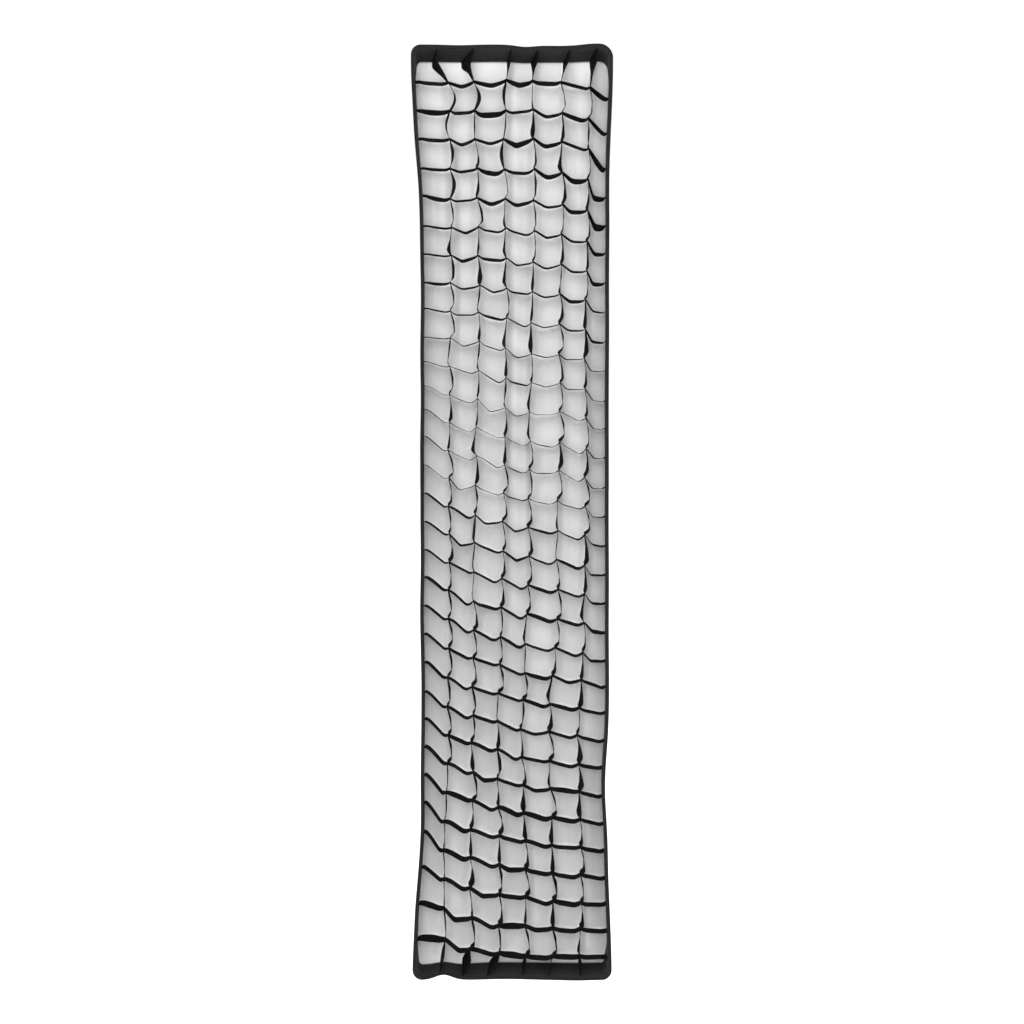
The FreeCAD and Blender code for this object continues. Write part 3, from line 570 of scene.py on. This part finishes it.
def folded_binding():
    """Binding tape folded round the lip's front edge."""
    outside, inside = -0.0004, LIP_THICKNESS + 0.0006
    middle, half = (outside + inside) / 2, (inside - outside) / 2
    leg = np.linspace(0, 1, 5)
    profile = [(0.83 + 0.11 * t, outside) for t in leg]
    for angle in np.linspace(0, math.pi, 9)[1:-1]:
        profile.append((0.955 + 0.026 * math.sin(angle), middle - half * math.cos(angle)))
    profile += [(0.94 - 0.11 * t, inside) for t in leg]
    return np.stack([lip_loop(share, inset) for share, inset in profile], 1)


lip_mid = lip_band(-0.07, 0.96, LIP_THICKNESS / 2, 12, lip_puff)
front_lip = put("front_lip_cloth", [cloth_part(lip_mid, LIP_THICKNESS, True)], LIP_CLOTH,
                "softbox", ["front_lip"])
binding = put("lip_binding_tape", [cloth_part(folded_binding(), TAPE_THICKNESS, True)], BINDING,
              "softbox", ["lip_binding"])
loop_tape = put("lip_loop_tape_pile", tape(0.04, 0.93, LOOP_INSET + 0.0010, 8), LOOP_TAPE,
                "softbox", ["lip_loop_tape"])


# ---- front diffuser ----

DIFFUSER_SHARE = 0.054
DIFFUSER_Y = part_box("front_diffuser")[0].y + DIFFUSER_THICKNESS / 2


def rounded_sheet(half_w, half_h, r, nx, nz):
    """X and Z of a grid of points that fills a rectangle with rounded corners."""
    z = np.linspace(-half_h, half_h, nz)[:, None]
    over = np.clip(np.abs(z) - (half_h - r), 0, None)
    narrow = half_w - (r - np.sqrt(np.clip(r ** 2 - over ** 2, 0, None)))
    x = np.linspace(-1, 1, nx)[None, :] * narrow
    return x, np.broadcast_to(z, x.shape)


def diffuser_points():
    """White sheet with soft folds running down it and pulls from the corners."""
    half_h = lerp(LIP_H, DIFFUSER_SHARE) - HOOK_INSET
    half_w = lerp(LIP_W, DIFFUSER_SHARE) - HOOK_INSET
    x, z = rounded_sheet(half_w, half_h, 0.010, 96, 330)
    sx, sz = settle(x, z, DIFFUSER_SHARE)
    slack = smooth(0, 0.03, half_w - np.abs(x)) * smooth(0, 0.04, half_h - np.abs(z))
    folds = 0.0034 * ripple(x * 42, z * 1.6, 21) + 0.0014 * ripple(x * 95, z * 3.5, 22)
    pulls = 0.0
    for side, end in ((1, 1), (-1, 1), (-1, -1), (1, -1)):
        cx, cz = 0.15 * side, 0.77 * end
        slant = (x - cx) + (z - cz) * 0.35 * (side * end)
        pulls = pulls + 0.0018 * hump(slant, 0, 0.006) * hump(z, cz, 0.10)
    return np.stack([sx, DIFFUSER_Y - (folds + pulls) * slack, sz], -1)


front_diffuser = put("front_diffuser_cloth", [cloth_part(diffuser_points(), DIFFUSER_THICKNESS)],
                     DIFFUSER_CLOTH, "front_diffuser", ["front_diffuser"])
diffuser_border = put("diffuser_border_tape", tape(0.06, 0.48, HOOK_INSET + 0.0004, 6), HOOK_TAPE,
                      "front_diffuser", ["diffuser_border"])


# ---- egg-crate grid ----

BORDER_SPAN = (0.15, 0.955)     # shares of the lip's depth that the border fills
STRIP_SPAN = (0.17, 0.95)       # and the strips
DEPTH = np.linspace(0, 1, 7)    # points across a strip, from its rear edge
CELL_STEPS = np.linspace(0, 1, 21)      # points along one cell of a strip
STRIP_SHARE = lerp(STRIP_SPAN, DEPTH)[None, :]


def border_roll(band):
    """The border's rear hem leans inwards at the ends, most at the bottom right."""
    share = np.linspace(0, 1, band.shape[1])[None, :]
    ends = smooth(0.74, 0.78, np.abs(band[..., 2]))
    low_right = (band[..., 2] < -0.7) * smooth(-0.10, -0.04, band[..., 0])
    lean = (1 - share) ** 2 * (-0.0005 + 0.0035 * ends + 0.0030 * low_right * ends)
    wave = 0.0007 * ripple(band[..., 0] * 22 + band[..., 2] * 13, share, 31)
    return -lean + wave * np.sin(math.pi * share)


border_mid = lip_band(*BORDER_SPAN, BORDER_INSET + STRIP_THICKNESS / 2, 12, border_roll)
grid_border = put("grid_border_cloth", [cloth_part(border_mid, STRIP_THICKNESS, True)],
                  BORDER_CLOTH, "egg_crate", ["grid_border"])
hook_tape = put("grid_hook_tape_pile", tape(0.53, 0.91, HOOK_INSET + 0.0006, 5), HOOK_TAPE,
                "egg_crate", ["grid_hook_tape"])

# How the grid hangs, in millimetres. At nine heights from the top: how far its crossings have
# sagged below true (left border, six strips, right border), and how far the six strips stand
# to the right of true.
HANG = (
    (742.5, (2, 2, 1, 0, 1, 4, 11, 30), (6, 2, 14, 12, 17, 18)),
    (643.5, (2, 0, 0, -1, -2, 4, 16, 50), (7, 6, 9, 14, 18, 17)),
    (495.0, (0, 2, 1, 3, 8, 14, 25, 45), (9, 10, 13, 16, 17, 14)),
    (297.0, (-8, -7, -1, 10, 19, 20, 28, 49), (9, 13, 13, 10, 13, 11)),
    (148.5, (-33, -11, -3, 13, 20, 22, 32, 50), (5, 7, 10, 9, 13, 13)),
    (-148.5, (-40, -19, -1, 10, 23, 30, 38, 53), (5, 2, 4, 4, 9, 10)),
    (-346.5, (-43, -17, -2, 9, 23, 28, 34, 42), (3, 0, -3, -7, -5, -2)),
    (-594.0, (-46, -16, -1, 11, 17, 25, 29, 34), (-4, -3, 0, 0, 2, 6)),
    (-742.5, (-7, -7, 8, 17, 20, 21, 21, 21), (-2, -3, -1, 0, 1, 4)),
)
# The same shift, in metres, where the six strips meet the border
ROOTS = {ROWS: (-0.020, -0.013, 0.017, 0.015, 0.023, 0.024),
         0: (-0.011, -0.018, -0.020, -0.006, -0.003, 0.002)}
# Sideways bows of the first three strips in their upper cells, from the top down
TOP_BOWS = {1: (0.0100, -0.0080, 0.0085, 0.0055), 2: (0.0070, 0.0010),
            3: (-0.0070, 0.0010, -0.0020)}
TOP_WIDTHS = (0.010, 0.022, 0.008, 0.013, 0.012, 0.013)     # splay of the strips at the top
BOTTOM_SWINGS = (0.003, 0.009, 0.006, 0.003, -0.003, 0.004)     # their bows in the last cell
STRAIGHT_CELLS = 7              # how many cells up from the bottom the first strip is straight

# Ranges of the random draws
CROSS_DIP = (0.0055, 0.0100)    # how deep a cross strip hangs in a cell
CROSS_LEAN = (0.0004, 0.0018)   # how far its rear edge stands off there
CROSS_LEAN_MORE = (0.0014, 0.0036)
LONG_BOW = (0.0020, 0.0095)     # how far a long strip bows aside in a cell
LONG_TWIST = (0.0006, 0.0026)   # how far its rear edge stands off there
LONG_TWIST_MORE = (0.0026, 0.0054)
NUB = (0.0014, 0.0044)          # and just above a crossing
rng = np.random.default_rng(35160)


def hang_at(height, column, kind):
    """Sag (kind 1) or sideways shift (kind 2) of the grid at a height, between the nine rows."""
    heights = [-row[0] / 1000 for row in HANG]
    values = [row[kind][column] / 1000 for row in HANG]
    return float(np.interp(-height, heights, values))


def crossings():
    """Places of all crossings [row, column, x or z]; the outer ones are on the border."""
    x = np.zeros((ROWS + 1, COLUMNS + 1))
    z = np.zeros((ROWS + 1, COLUMNS + 1))
    for i in range(ROWS + 1):
        height = (i - ROWS / 2) * PITCH_Z
        for j in range(COLUMNS + 1):
            shift = 0.0
            if 0 < j < COLUMNS:
                shift = ROOTS[i][j - 1] if i in ROOTS else hang_at(height, j - 1, 2)
            x[i, j] = (j - COLUMNS / 2) * PITCH_X + shift + rng.normal(0, 0.0010)
            z[i, j] = height - hang_at(height, j, 1) + rng.normal(0, 0.0009)
    return x, z


CROSS_X, CROSS_Z = crossings()


def bent(t, places, values, softness):
    """A line bent at the given places, its corners rounded over the softness."""
    reach = np.minimum(softness, np.minimum(t, 1 - t))
    steps = [np.interp(t + reach * k, places, values) for k in (-1.0, -0.6, -0.2, 0.2, 0.6, 1.0)]
    return np.mean(steps, axis=0)


def stretch_to(values, start, end, wall):
    """Stretches what lies beyond start so that its end meets the wall."""
    beyond = (values - start) / (end - start)
    return np.where(beyond > 0, start + (wall - start) * beyond, values)


def strip_points(xs, zs):
    return np.stack([xs, np.broadcast_to(lip_y(STRIP_SHARE), xs.shape), zs], -1)


def cell_line(kind, start, end, dip, knee):
    """Bends of a cross strip between two crossings: places along it and heights."""
    low = min(start, end)
    if kind == "hook":
        slope = start + (end - start) * 0.22
        return (0.0, 0.08, 0.30, 0.84, 1.0), (start, start + 0.0018, slope, end - 0.0022, end)
    if kind == "steep":
        turn = start - (start - end) * 0.80 - dip * 0.55
        return (0.0, knee, 0.88, 1.0), (start, turn, end - 0.0025, end)
    if kind == "vee":
        return (0.0, knee, 0.90, 1.0), (start, low - dip, end - 0.003, end)
    if kind == "shelf":
        return (0.0, 0.16, 0.84, 1.0), (start, start - dip * 0.75, end - dip * 0.55, end)
    heights = (start, start - dip * 0.7, end - dip, end - dip * 0.6, end)
    return (0.0, 0.22, 0.74, 0.92, 1.0), heights


def cell_kind(column, zn):
    """What shape a cross strip takes in a column of the grid at a height."""
    upper = float(smooth(0.1, 0.5, zn))
    if column == 0:
        return "hook"
    if column == COLUMNS - 1:
        return "steep" if zn > -0.25 else "shelf"
    if column == COLUMNS - 2 and upper > 0.5:
        return "steep"
    return rng.choice(("vee", "shelf", "dip"), p=(0.10 + 0.45 * upper, 0.30, 0.60 - 0.45 * upper))


def cross_strip(i):
    """Middle points of one cross strip [along, depth]."""
    zn = (i - ROWS / 2) * PITCH_Z / LIP_H[1]
    near_end = float(smooth(0.86, 0.97, abs(zn)))
    low_down = float(smooth(-0.2, -0.5, zn))
    xs, zs = [], []
    for j in range(COLUMNS):
        t = CELL_STEPS if j == COLUMNS - 1 else CELL_STEPS[:-1]
        kind = cell_kind(j, zn)
        knee = rng.uniform(0.26, 0.40) if kind == "steep" else rng.uniform(0.36, 0.55)
        if kind == "steep" and zn > 0.78:
            knee = 0.74
        dip = rng.uniform(*CROSS_DIP) * (1 - 0.5 * near_end) * (1 - 0.35 * low_down)
        lean = rng.uniform(*CROSS_LEAN)
        if rng.random() < 0.40:
            lean = lean + rng.uniform(*CROSS_LEAN_MORE)
        lean = lean * (0.5 + 0.7 * float(smooth(0.3, 0.7, zn))) if zn > 0.0 else -0.8 * lean
        if j == COLUMNS - 1 and zn > 0.55:
            lean = lean + rng.uniform(0.0025, 0.0050)
        if (i, j) == (1, 0):
            lean = -0.0055
        softness = rng.uniform(0.05, 0.12)
        places, heights = cell_line(kind, CROSS_Z[i, j], CROSS_Z[i, j + 1], dip, knee)
        front = bent(t, places, heights, softness)
        rear = front - lean * np.sin(math.pi * t) ** 0.7
        x = lerp(CROSS_X[i, j:j + 2], t)
        xs.append(x[:, None] + 0 * DEPTH)
        zs.append(rear[:, None] + (front - rear)[:, None] * DEPTH)
    x, z = np.concatenate(xs), np.concatenate(zs)
    wall = lerp(LIP_W, STRIP_SHARE) - BORDER_INSET - 0.4 * STRIP_THICKNESS
    left = side_pull(-1.0, z[:1], STRIP_SHARE) - wall
    right = wall - side_pull(1.0, z[-1:], STRIP_SHARE)
    x = stretch_to(x, CROSS_X[i, 1], CROSS_X[i, 0], left)
    return strip_points(stretch_to(x, CROSS_X[i, -2], CROSS_X[i, -1], right), z)


def top_wedge(t, j):
    """Front and rear of a long strip in its last cell, where it fans out to the top border."""
    width = TOP_WIDTHS[j - 1]
    if j == 1:
        front = bent(t, (0.0, 0.30, 0.66, 1.0), (0.0, -0.001, -0.004, 0.006), 0.07)
        return front, front - width * bent(t, (0.0, 0.35, 0.66, 1.0), (0.0, 0.35, 0.75, 0.9), 0.07)
    if j == 2:
        front = bent(t, (0.0, 0.45, 0.72, 1.0), (0.0, 0.001, 0.008, 0.016), 0.06)
        return front, front - width * bent(t, (0.0, 0.45, 0.62, 1.0), (0.0, 0.2, 0.75, 1.0), 0.05)
    front = bent(t, (0.0, 0.35, 0.70, 1.0), (0.0, 0.003, width * 0.75, width * 0.55), 0.06)
    return front, bent(t, (0.0, 0.5, 1.0), (0.0, -0.0005, -width * 0.35), 0.06)


def long_strip(j):
    """Middle points of one long strip [along, depth], from the bottom up."""
    xs, zs = [], []
    bows = TOP_BOWS.get(j, ())
    for i in range(ROWS):
        t = CELL_STEPS if i == ROWS - 1 else CELL_STEPS[:-1]
        upper = float(smooth(0.0, 0.5, (i + 0.5 - ROWS / 2) * PITCH_Z / LIP_H[1]))
        bow = rng.uniform(*LONG_BOW) * (1 - 0.25 * upper)
        if rng.random() < 0.10 + 0.10 * upper:
            bow = -0.5 * bow
        turn = rng.uniform(0.10, 0.24)
        twist = rng.uniform(*LONG_TWIST) * rng.choice((-1, 1))
        if rng.random() < 0.32:
            twist = rng.uniform(*LONG_TWIST_MORE) * rng.choice((-1, 1))
        nub = rng.uniform(*NUB)
        front = bent(t, (0.0, turn, 0.55, 1.0), (0.0, bow, bow * 0.7, 0.0), 0.08)
        rear = bent(t, (0.0, 0.05, turn + 0.03, 0.60, 1.0),
                    (0.0, -nub, bow + twist - nub, (bow + twist) * 0.7, 0.0), 0.05)
        below_top = ROWS - 2 - i
        if 0 <= below_top < len(bows):
            arch = bent(t, (0.0, 0.22, 0.55, 1.0), (0.0, 0.7, 1.0, 0.0), 0.14)
            front = bows[below_top] * arch
            rear = front + twist * np.sin(math.pi * t)
        if j == 1 and i < STRAIGHT_CELLS:
            front, rear = 0.25 * front, 0.25 * rear
        if i == ROWS - 1:
            front, rear = top_wedge(t, j)
        if i == 0:
            front = BOTTOM_SWINGS[j - 1] * bent(t, (0.0, 0.5, 1.0), (0.0, 1.0, 0.0), 0.15)
            rear = -front * 0.7
        x = lerp(CROSS_X[i:i + 2, j], t)
        z = lerp(CROSS_Z[i:i + 2, j], t)
        xs.append((x + rear)[:, None] + (front - rear)[:, None] * DEPTH)
        zs.append(z[:, None] + 0 * DEPTH)
    x, z = np.concatenate(xs), np.concatenate(zs)
    wall = lerp(LIP_H, STRIP_SHARE) - BORDER_INSET - STRIP_THICKNESS
    hang = lerp((BOTTOM_HANG, 0.0), STRIP_SHARE)
    bottom = end_wave(x, -1.0) * 0.8 - hang - wall
    z = stretch_to(z, CROSS_Z[1, j], CROSS_Z[0, j], bottom)
    z = stretch_to(z, CROSS_Z[-2, j], CROSS_Z[-1, j], end_wave(x, 1.0) * 0.8 + wall)
    return strip_points(x, z)


long_parts = [cloth_part(long_strip(j), STRIP_THICKNESS) for j in range(1, COLUMNS)]
cross_parts = [cloth_part(cross_strip(i), STRIP_THICKNESS) for i in range(1, ROWS)]
grid_long = put("grid_long_cloth", long_parts, GRID_CLOTH, "egg_crate",
                ["grid_long_strips"])
grid_cross = put("grid_cross_cloth", cross_parts, GRID_CLOTH, "egg_crate",
                 ["grid_cross_strips"])


# ---- rod line and shell ----

chord = BEND_END - BEND_START
chord_length = float(np.linalg.norm(chord))
chord_unit = chord / chord_length
bow_unit = unit(np.array((0.0, 1.0, 0.0)) - chord_unit * chord_unit[1])
bow_height = 0.5 * chord_length * math.tan(math.radians(BOW_ANGLE / 2))
bow_top = (BEND_START + BEND_END) / 2 + bow_unit * bow_height
rod_at, rod_direction = arc_through(BEND_START, bow_top, BEND_END)


def end_normal(d):
    return unit(np.stack([0 * d[..., 0], d[..., 2], -d[..., 1]], -1))


def side_normal(d):
    return unit(np.stack([-d[..., 1], d[..., 0], 0 * d[..., 0]], -1))


def offset_arc(distance):
    """The rod line moved outward, clear of both panels by the distance."""
    moved = []
    for share in (0.0, 0.5, 1.0):
        d = rod_direction(share)
        end, side = end_normal(d), side_normal(d)
        moved.append(rod_at(share) + (end + side) * distance / (1 + end @ side))
    return arc_through(*moved)


corner_at, corner_direction = offset_arc(ROD_TO_SHELL)


def panel_wrinkles(a, b, seed, size):
    """Soft folds fanning from the neck, calm at the seams."""
    calm = np.sin(math.pi * a) ** 0.5 * (1 - b ** 4)
    fan = ripple(b * 4.5, a * 2.2, seed) * 0.7 + ripple(b * 11, a * 4.0, seed + 1) * 0.3
    return size * fan * calm


def join_lip(points, a, b):
    """Carries the shell's front edge to where the lip's base hangs, waves and is rounded."""
    inward = CORNER_DRAW * smooth(0.93, 1.0, a) * (np.abs(b) > 0.999)
    for axis in (0, 2):
        points[..., axis] -= np.sign(points[..., axis]) * inward
    x, y, z = points[..., 0], points[..., 1], points[..., 2]
    near = smooth(-0.30, LIP_BASE_Y + 0.002, y) * at_end(z, 0.0)
    points[..., 2] = z + end_move(x, z, 0.0) * near
    return points


def end_panel(inset, seed, sign):
    """Top or bottom panel, between the upper or the lower two rods."""
    a = np.linspace(0, 1, 90)[:, None]
    b = np.linspace(-1, 1, 40)[None, :]
    corner = corner_at(a)
    normal = end_normal(corner_direction(a))
    depth = (END_SAG * np.sin(math.pi * a) + 0.0002) * (1 - b ** 2) + inset
    depth = depth + panel_wrinkles(a, b, seed, 0.0016)
    points = corner - normal * depth[..., None]
    points[..., 0] = b * (corner[..., 0] - inset * 1.3)
    points[..., 2] *= sign
    return join_lip(points, a, b)[::-1 if sign < 0 else 1]


def side_panel(inset, seed, sign):
    """Left or right long panel, between the two rods of that side."""
    a = np.linspace(0, 1, 44)[:, None]
    b = np.linspace(-1, 1, 170)[None, :]
    corner = corner_at(a)
    direction = corner_direction(a)
    half = corner[..., 2] - inset * 1.3 / end_normal(direction)[..., 2]
    front = side_pull(sign, b * half[-1], 0.0) + RIGHT_TUCK * (sign > 0) * (1 - b ** 8)
    depth = SIDE_SAG * np.sin(math.pi * a) * (1 - b ** 2) + front * a ** 2 + inset
    depth = depth + panel_wrinkles(a, b, seed, 0.0018)
    points = corner - side_normal(direction) * depth[..., None]
    points[..., 0] *= sign
    points[..., 2] = b * half
    return join_lip(points, a, b)[::-1 if sign > 0 else 1]


PANELS = {"top": (end_panel, 1), "bottom": (end_panel, -1), "right": (side_panel, 1),
          "left": (side_panel, -1)}
shells, linings = {}, {}
for index, (label, (make, sign)) in enumerate(PANELS.items()):
    seed = 40 + index * 3
    outer = make(SHELL_THICKNESS / 2, seed, sign)
    inner = make(LINING_INSET + LINING_THICKNESS / 2 + 0.0004, seed, sign)
    shells[label] = put(f"shell_cloth_{label}", [cloth_part(outer, SHELL_THICKNESS)],
                        SHELL_CLOTH, "softbox", [f"shell_{label}"])
    linings[label] = put(f"lining_cloth_{label}", [cloth_part(inner, LINING_THICKNESS)],
                         SILVER_CLOTH, "softbox", [f"lining_{label}"])


def to_corner(points, corner):
    return points * np.array((CORNERS[corner][0], 1, CORNERS[corner][1]))


def piping_cord(corner):
    """Cord sewn into the seam of two shell panels."""
    a = np.linspace(0.004, 0.992, 90)
    line = offset_arc(ROD_TO_SHELL + 0.0004)[0](a)
    return tube_part(join_lip(to_corner(line, corner), a, 1.0), PIPING_R, 10)


def pocket(corner):
    """Webbing sleeve, sewn shut at its front end, that holds the rod tip."""
    path = rod_at(ROD_STOP) + rod_direction(ROD_STOP) * np.linspace(-0.040, 0.004, 24)[:, None]
    radius = np.full(24, POCKET_R - 0.0002)
    radius[-3:] *= (0.96, 0.82, 0.45)
    radius[:2] *= (1.04, 1.03)
    return tube_part(to_corner(path, corner), radius, 18)


piping = put("corner_piping_cord", [piping_cord(corner) for corner in CORNERS], WEBBING,
             "softbox", ["corner_piping"])
put("corner_pocket_webbing", [pocket(corner) for corner in CORNERS], WEBBING, "softbox",
    ["corner_pockets"])


# ---- neck and strap ----

def neck_points():
    """Cloth neck from the shell's rear edge to the ring, gathered under the strap."""
    corner = corner_at(0.0)
    front_y, ring_y = corner[1] - 0.0026, -0.0200
    loop = rounded_loop(corner[0] + 0.0006, corner[2] + 0.0008, (0.004,) * 4, (60, 8, 40))
    angle = np.unwrap(np.arctan2(loop[:, 1], loop[:, 0]))
    ring_r = NECK_R - NECK_THICKNESS / 2
    circle = np.stack([ring_r * np.cos(angle), ring_r * np.sin(angle)], 1)
    rows = []
    for share in (*np.linspace(0, 1, 16), *np.linspace(1, 1.3, 6)[1:]):     # past 1: the sleeve
        inside = min(share, 1.0)
        ease = inside ** 1.25
        xz = loop * (1 - ease) + circle * ease
        gather = 0.0011 * np.sin(angle * 34 + 1.3 * np.sin(angle * 5))
        gather = gather * math.sin(math.pi * min(inside, 0.92))
        slack = 0.0020 * ripple(angle * 2.2, share * 2, 61) * math.sin(math.pi * inside)
        xz = xz * (1 + (gather + slack) / np.linalg.norm(xz, axis=1))[:, None]
        y = front_y + (ring_y - front_y) * inside + max(0.0, share - 1.0) * 0.030
        rows.append(np.stack([xz[:, 0], np.full(len(xz), y), xz[:, 1]], 1))
    return np.stack(rows, 1)


def strap_points():
    """Strap wound once round the sleeve, with its end lapped over the start."""
    full = 2 * math.pi
    turns = np.linspace(-0.15, full + 0.55, 190)[:, None]
    lapped = (STRAP_R[0] + 0.0007, STRAP_R[1] + 0.0008)
    radius = lerp(lapped, smooth(full - 0.75, full - 0.05, turns))
    radius = radius + 0.0007 * smooth(full + 0.35, full + 0.55, turns)
    angle = turns + math.radians(215)
    y = np.linspace(-0.0184, -0.0126, 5)[None, :]
    return np.stack(np.broadcast_arrays(radius * np.cos(angle), y, radius * np.sin(angle)), -1)


neck = put("neck_cloth", [cloth_part(neck_points(), NECK_THICKNESS, True)], SHELL_CLOTH,
           "softbox", ["neck"])
strap = put("neck_strap_webbing", [cloth_part(strap_points(), 0.0012)], WEBBING, "softbox",
            ["neck_strap"])


# ---- inner diffuser with its tabs, and the loops on the lining ----

STUD_PITCH = 0.330              # height between the studs of a long side


def inner_points():
    """White sheet that sags forward and is drawn in between its tabs."""
    low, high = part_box("inner_diffuser")
    x, z = rounded_sheet(high.x, high.z, 0.020, 40, 150)
    slack = smooth(0, 0.03, high.x - np.abs(x)) * smooth(0, 0.05, high.z - np.abs(z))
    y = low.y + DIFFUSER_THICKNESS / 2 - slack * (0.003 + 0.0022 * ripple(x * 16, z * 3.5, 71))
    scallop = 0.004 * np.sin(math.pi * (z / STUD_PITCH)) ** 2
    scallop = scallop * np.clip(np.abs(x) / high.x, 0, 1) ** 6
    return np.stack([x - np.sign(x) * scallop, y, z], -1)


def webbing_pieces(node, bend):
    """One curved strip for each separate solid of a CAD node."""
    groups = {}
    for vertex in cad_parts[node].data.vertices:
        x, y, z = vertex.co
        side = 0 if abs(z) > 0.40 else int(np.sign(x))      # 0 for the two at the ends
        row = int(np.sign(z)) if side == 0 else int(round(z / STUD_PITCH))
        groups.setdefault((side, row), []).append((x, y, z))
    parts = []
    for (side, _), members in sorted(groups.items()):
        low, high = np.min(members, 0), np.max(members, 0)
        t = np.linspace(0, 1, 14)[:, None]
        w = np.linspace(-1, 1, 5)[None, :]
        run, cross = (0, 2) if side else (2, 0)
        points = np.zeros((14, 5, 3))
        points[..., run] = low[run] + (high[run] - low[run]) * t
        points[..., cross] = (low[cross] + high[cross]) / 2 + w * ((high[cross] - low[cross]) / 2)
        points[..., 1] = (low[1] + high[1]) / 2 + bend * np.sin(math.pi * t)
        parts.append(cloth_part(points[::-1] if side else points, (high[1] - low[1]) * 0.9))
    return parts


inner_diffuser = put("inner_diffuser_cloth", [cloth_part(inner_points(), DIFFUSER_THICKNESS)],
                     DIFFUSER_CLOTH, "inner_diffuser", ["inner_diffuser"])
tabs = put("inner_tab_webbing", webbing_pieces("inner_diffuser_tabs", -0.0004), WEBBING,
           "inner_diffuser", ["inner_diffuser_tabs"])
anchor_loops = put("anchor_loop_webbing", webbing_pieces("anchor_loops", 0.0003), WEBBING,
                   "softbox", ["anchor_loops"])


# ---- floor, light and camera ----

FLOOR_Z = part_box("lip_binding")[0].z - 0.16
FLOOR_R = 30


def floor():
    mesh = bpy.data.meshes.new("floor")
    turns = [k * math.pi / 24 for k in range(48)]
    ring = [(FLOOR_R * math.cos(turn), FLOOR_R * math.sin(turn), FLOOR_Z) for turn in turns]
    mesh.from_pydata(ring, [], [list(range(48))])
    s = Shader("pale_floor", 0.9, specular=0.1)
    s.set("Base Color", s.mix(s.noise(3.0, 2.0), grey(860), grey(900)))
    s.set("Emission Color", (1, 1, 1, 1))
    s.set("Emission Strength", 0.55)
    mesh.materials.append(s.mat)
    new_object("floor", mesh)


floor()

world = bpy.data.worlds.new("white_room")
bpy.context.scene.world = world
world.use_nodes = True
background = world.node_tree.nodes["Background"].inputs
background["Color"].default_value = (1, 1, 1, 1)
background["Strength"].default_value = 1.02


def turn_to(obj, target):
    direction = Vector(target) - obj.location
    obj.rotation_euler = direction.to_track_quat("-Z", "Y").to_euler()


def area_light(name, place, target, size, power):
    data = bpy.data.lights.new(name, "AREA")
    data.shape = "RECTANGLE"
    data.size, data.size_y = size
    data.energy = power
    obj = new_object(name, data)
    obj.location = place
    turn_to(obj, target)


area_light("front_top", (-0.2, -3.3, 1.9), (0, -0.4, 0.35), (2.2, 1.6), 42)
area_light("front_fill", (-0.25, -4.7, 0.5), (0, -0.4, -0.1), (1.8, 1.8), 50)

CAMERA_DISTANCE = 4.7
AIM_HEIGHT = 0.006
CAMERA_HEIGHT = 0.20
VIEW_HEIGHT = 1.752             # of the front plane, at the top and bottom of the picture
camera = bpy.data.cameras.new("camera")
camera.sensor_width = 36.0
camera.lens = camera.sensor_width * CAMERA_DISTANCE / VIEW_HEIGHT
camera_obj = new_object("camera", camera)
camera_obj.location = (0, FRONT_Y - CAMERA_DISTANCE, CAMERA_HEIGHT)
turn_to(camera_obj, (0, FRONT_Y, AIM_HEIGHT))
bpy.context.scene.camera = camera_obj
bpy.context.scene.view_settings.view_transform = "Standard"
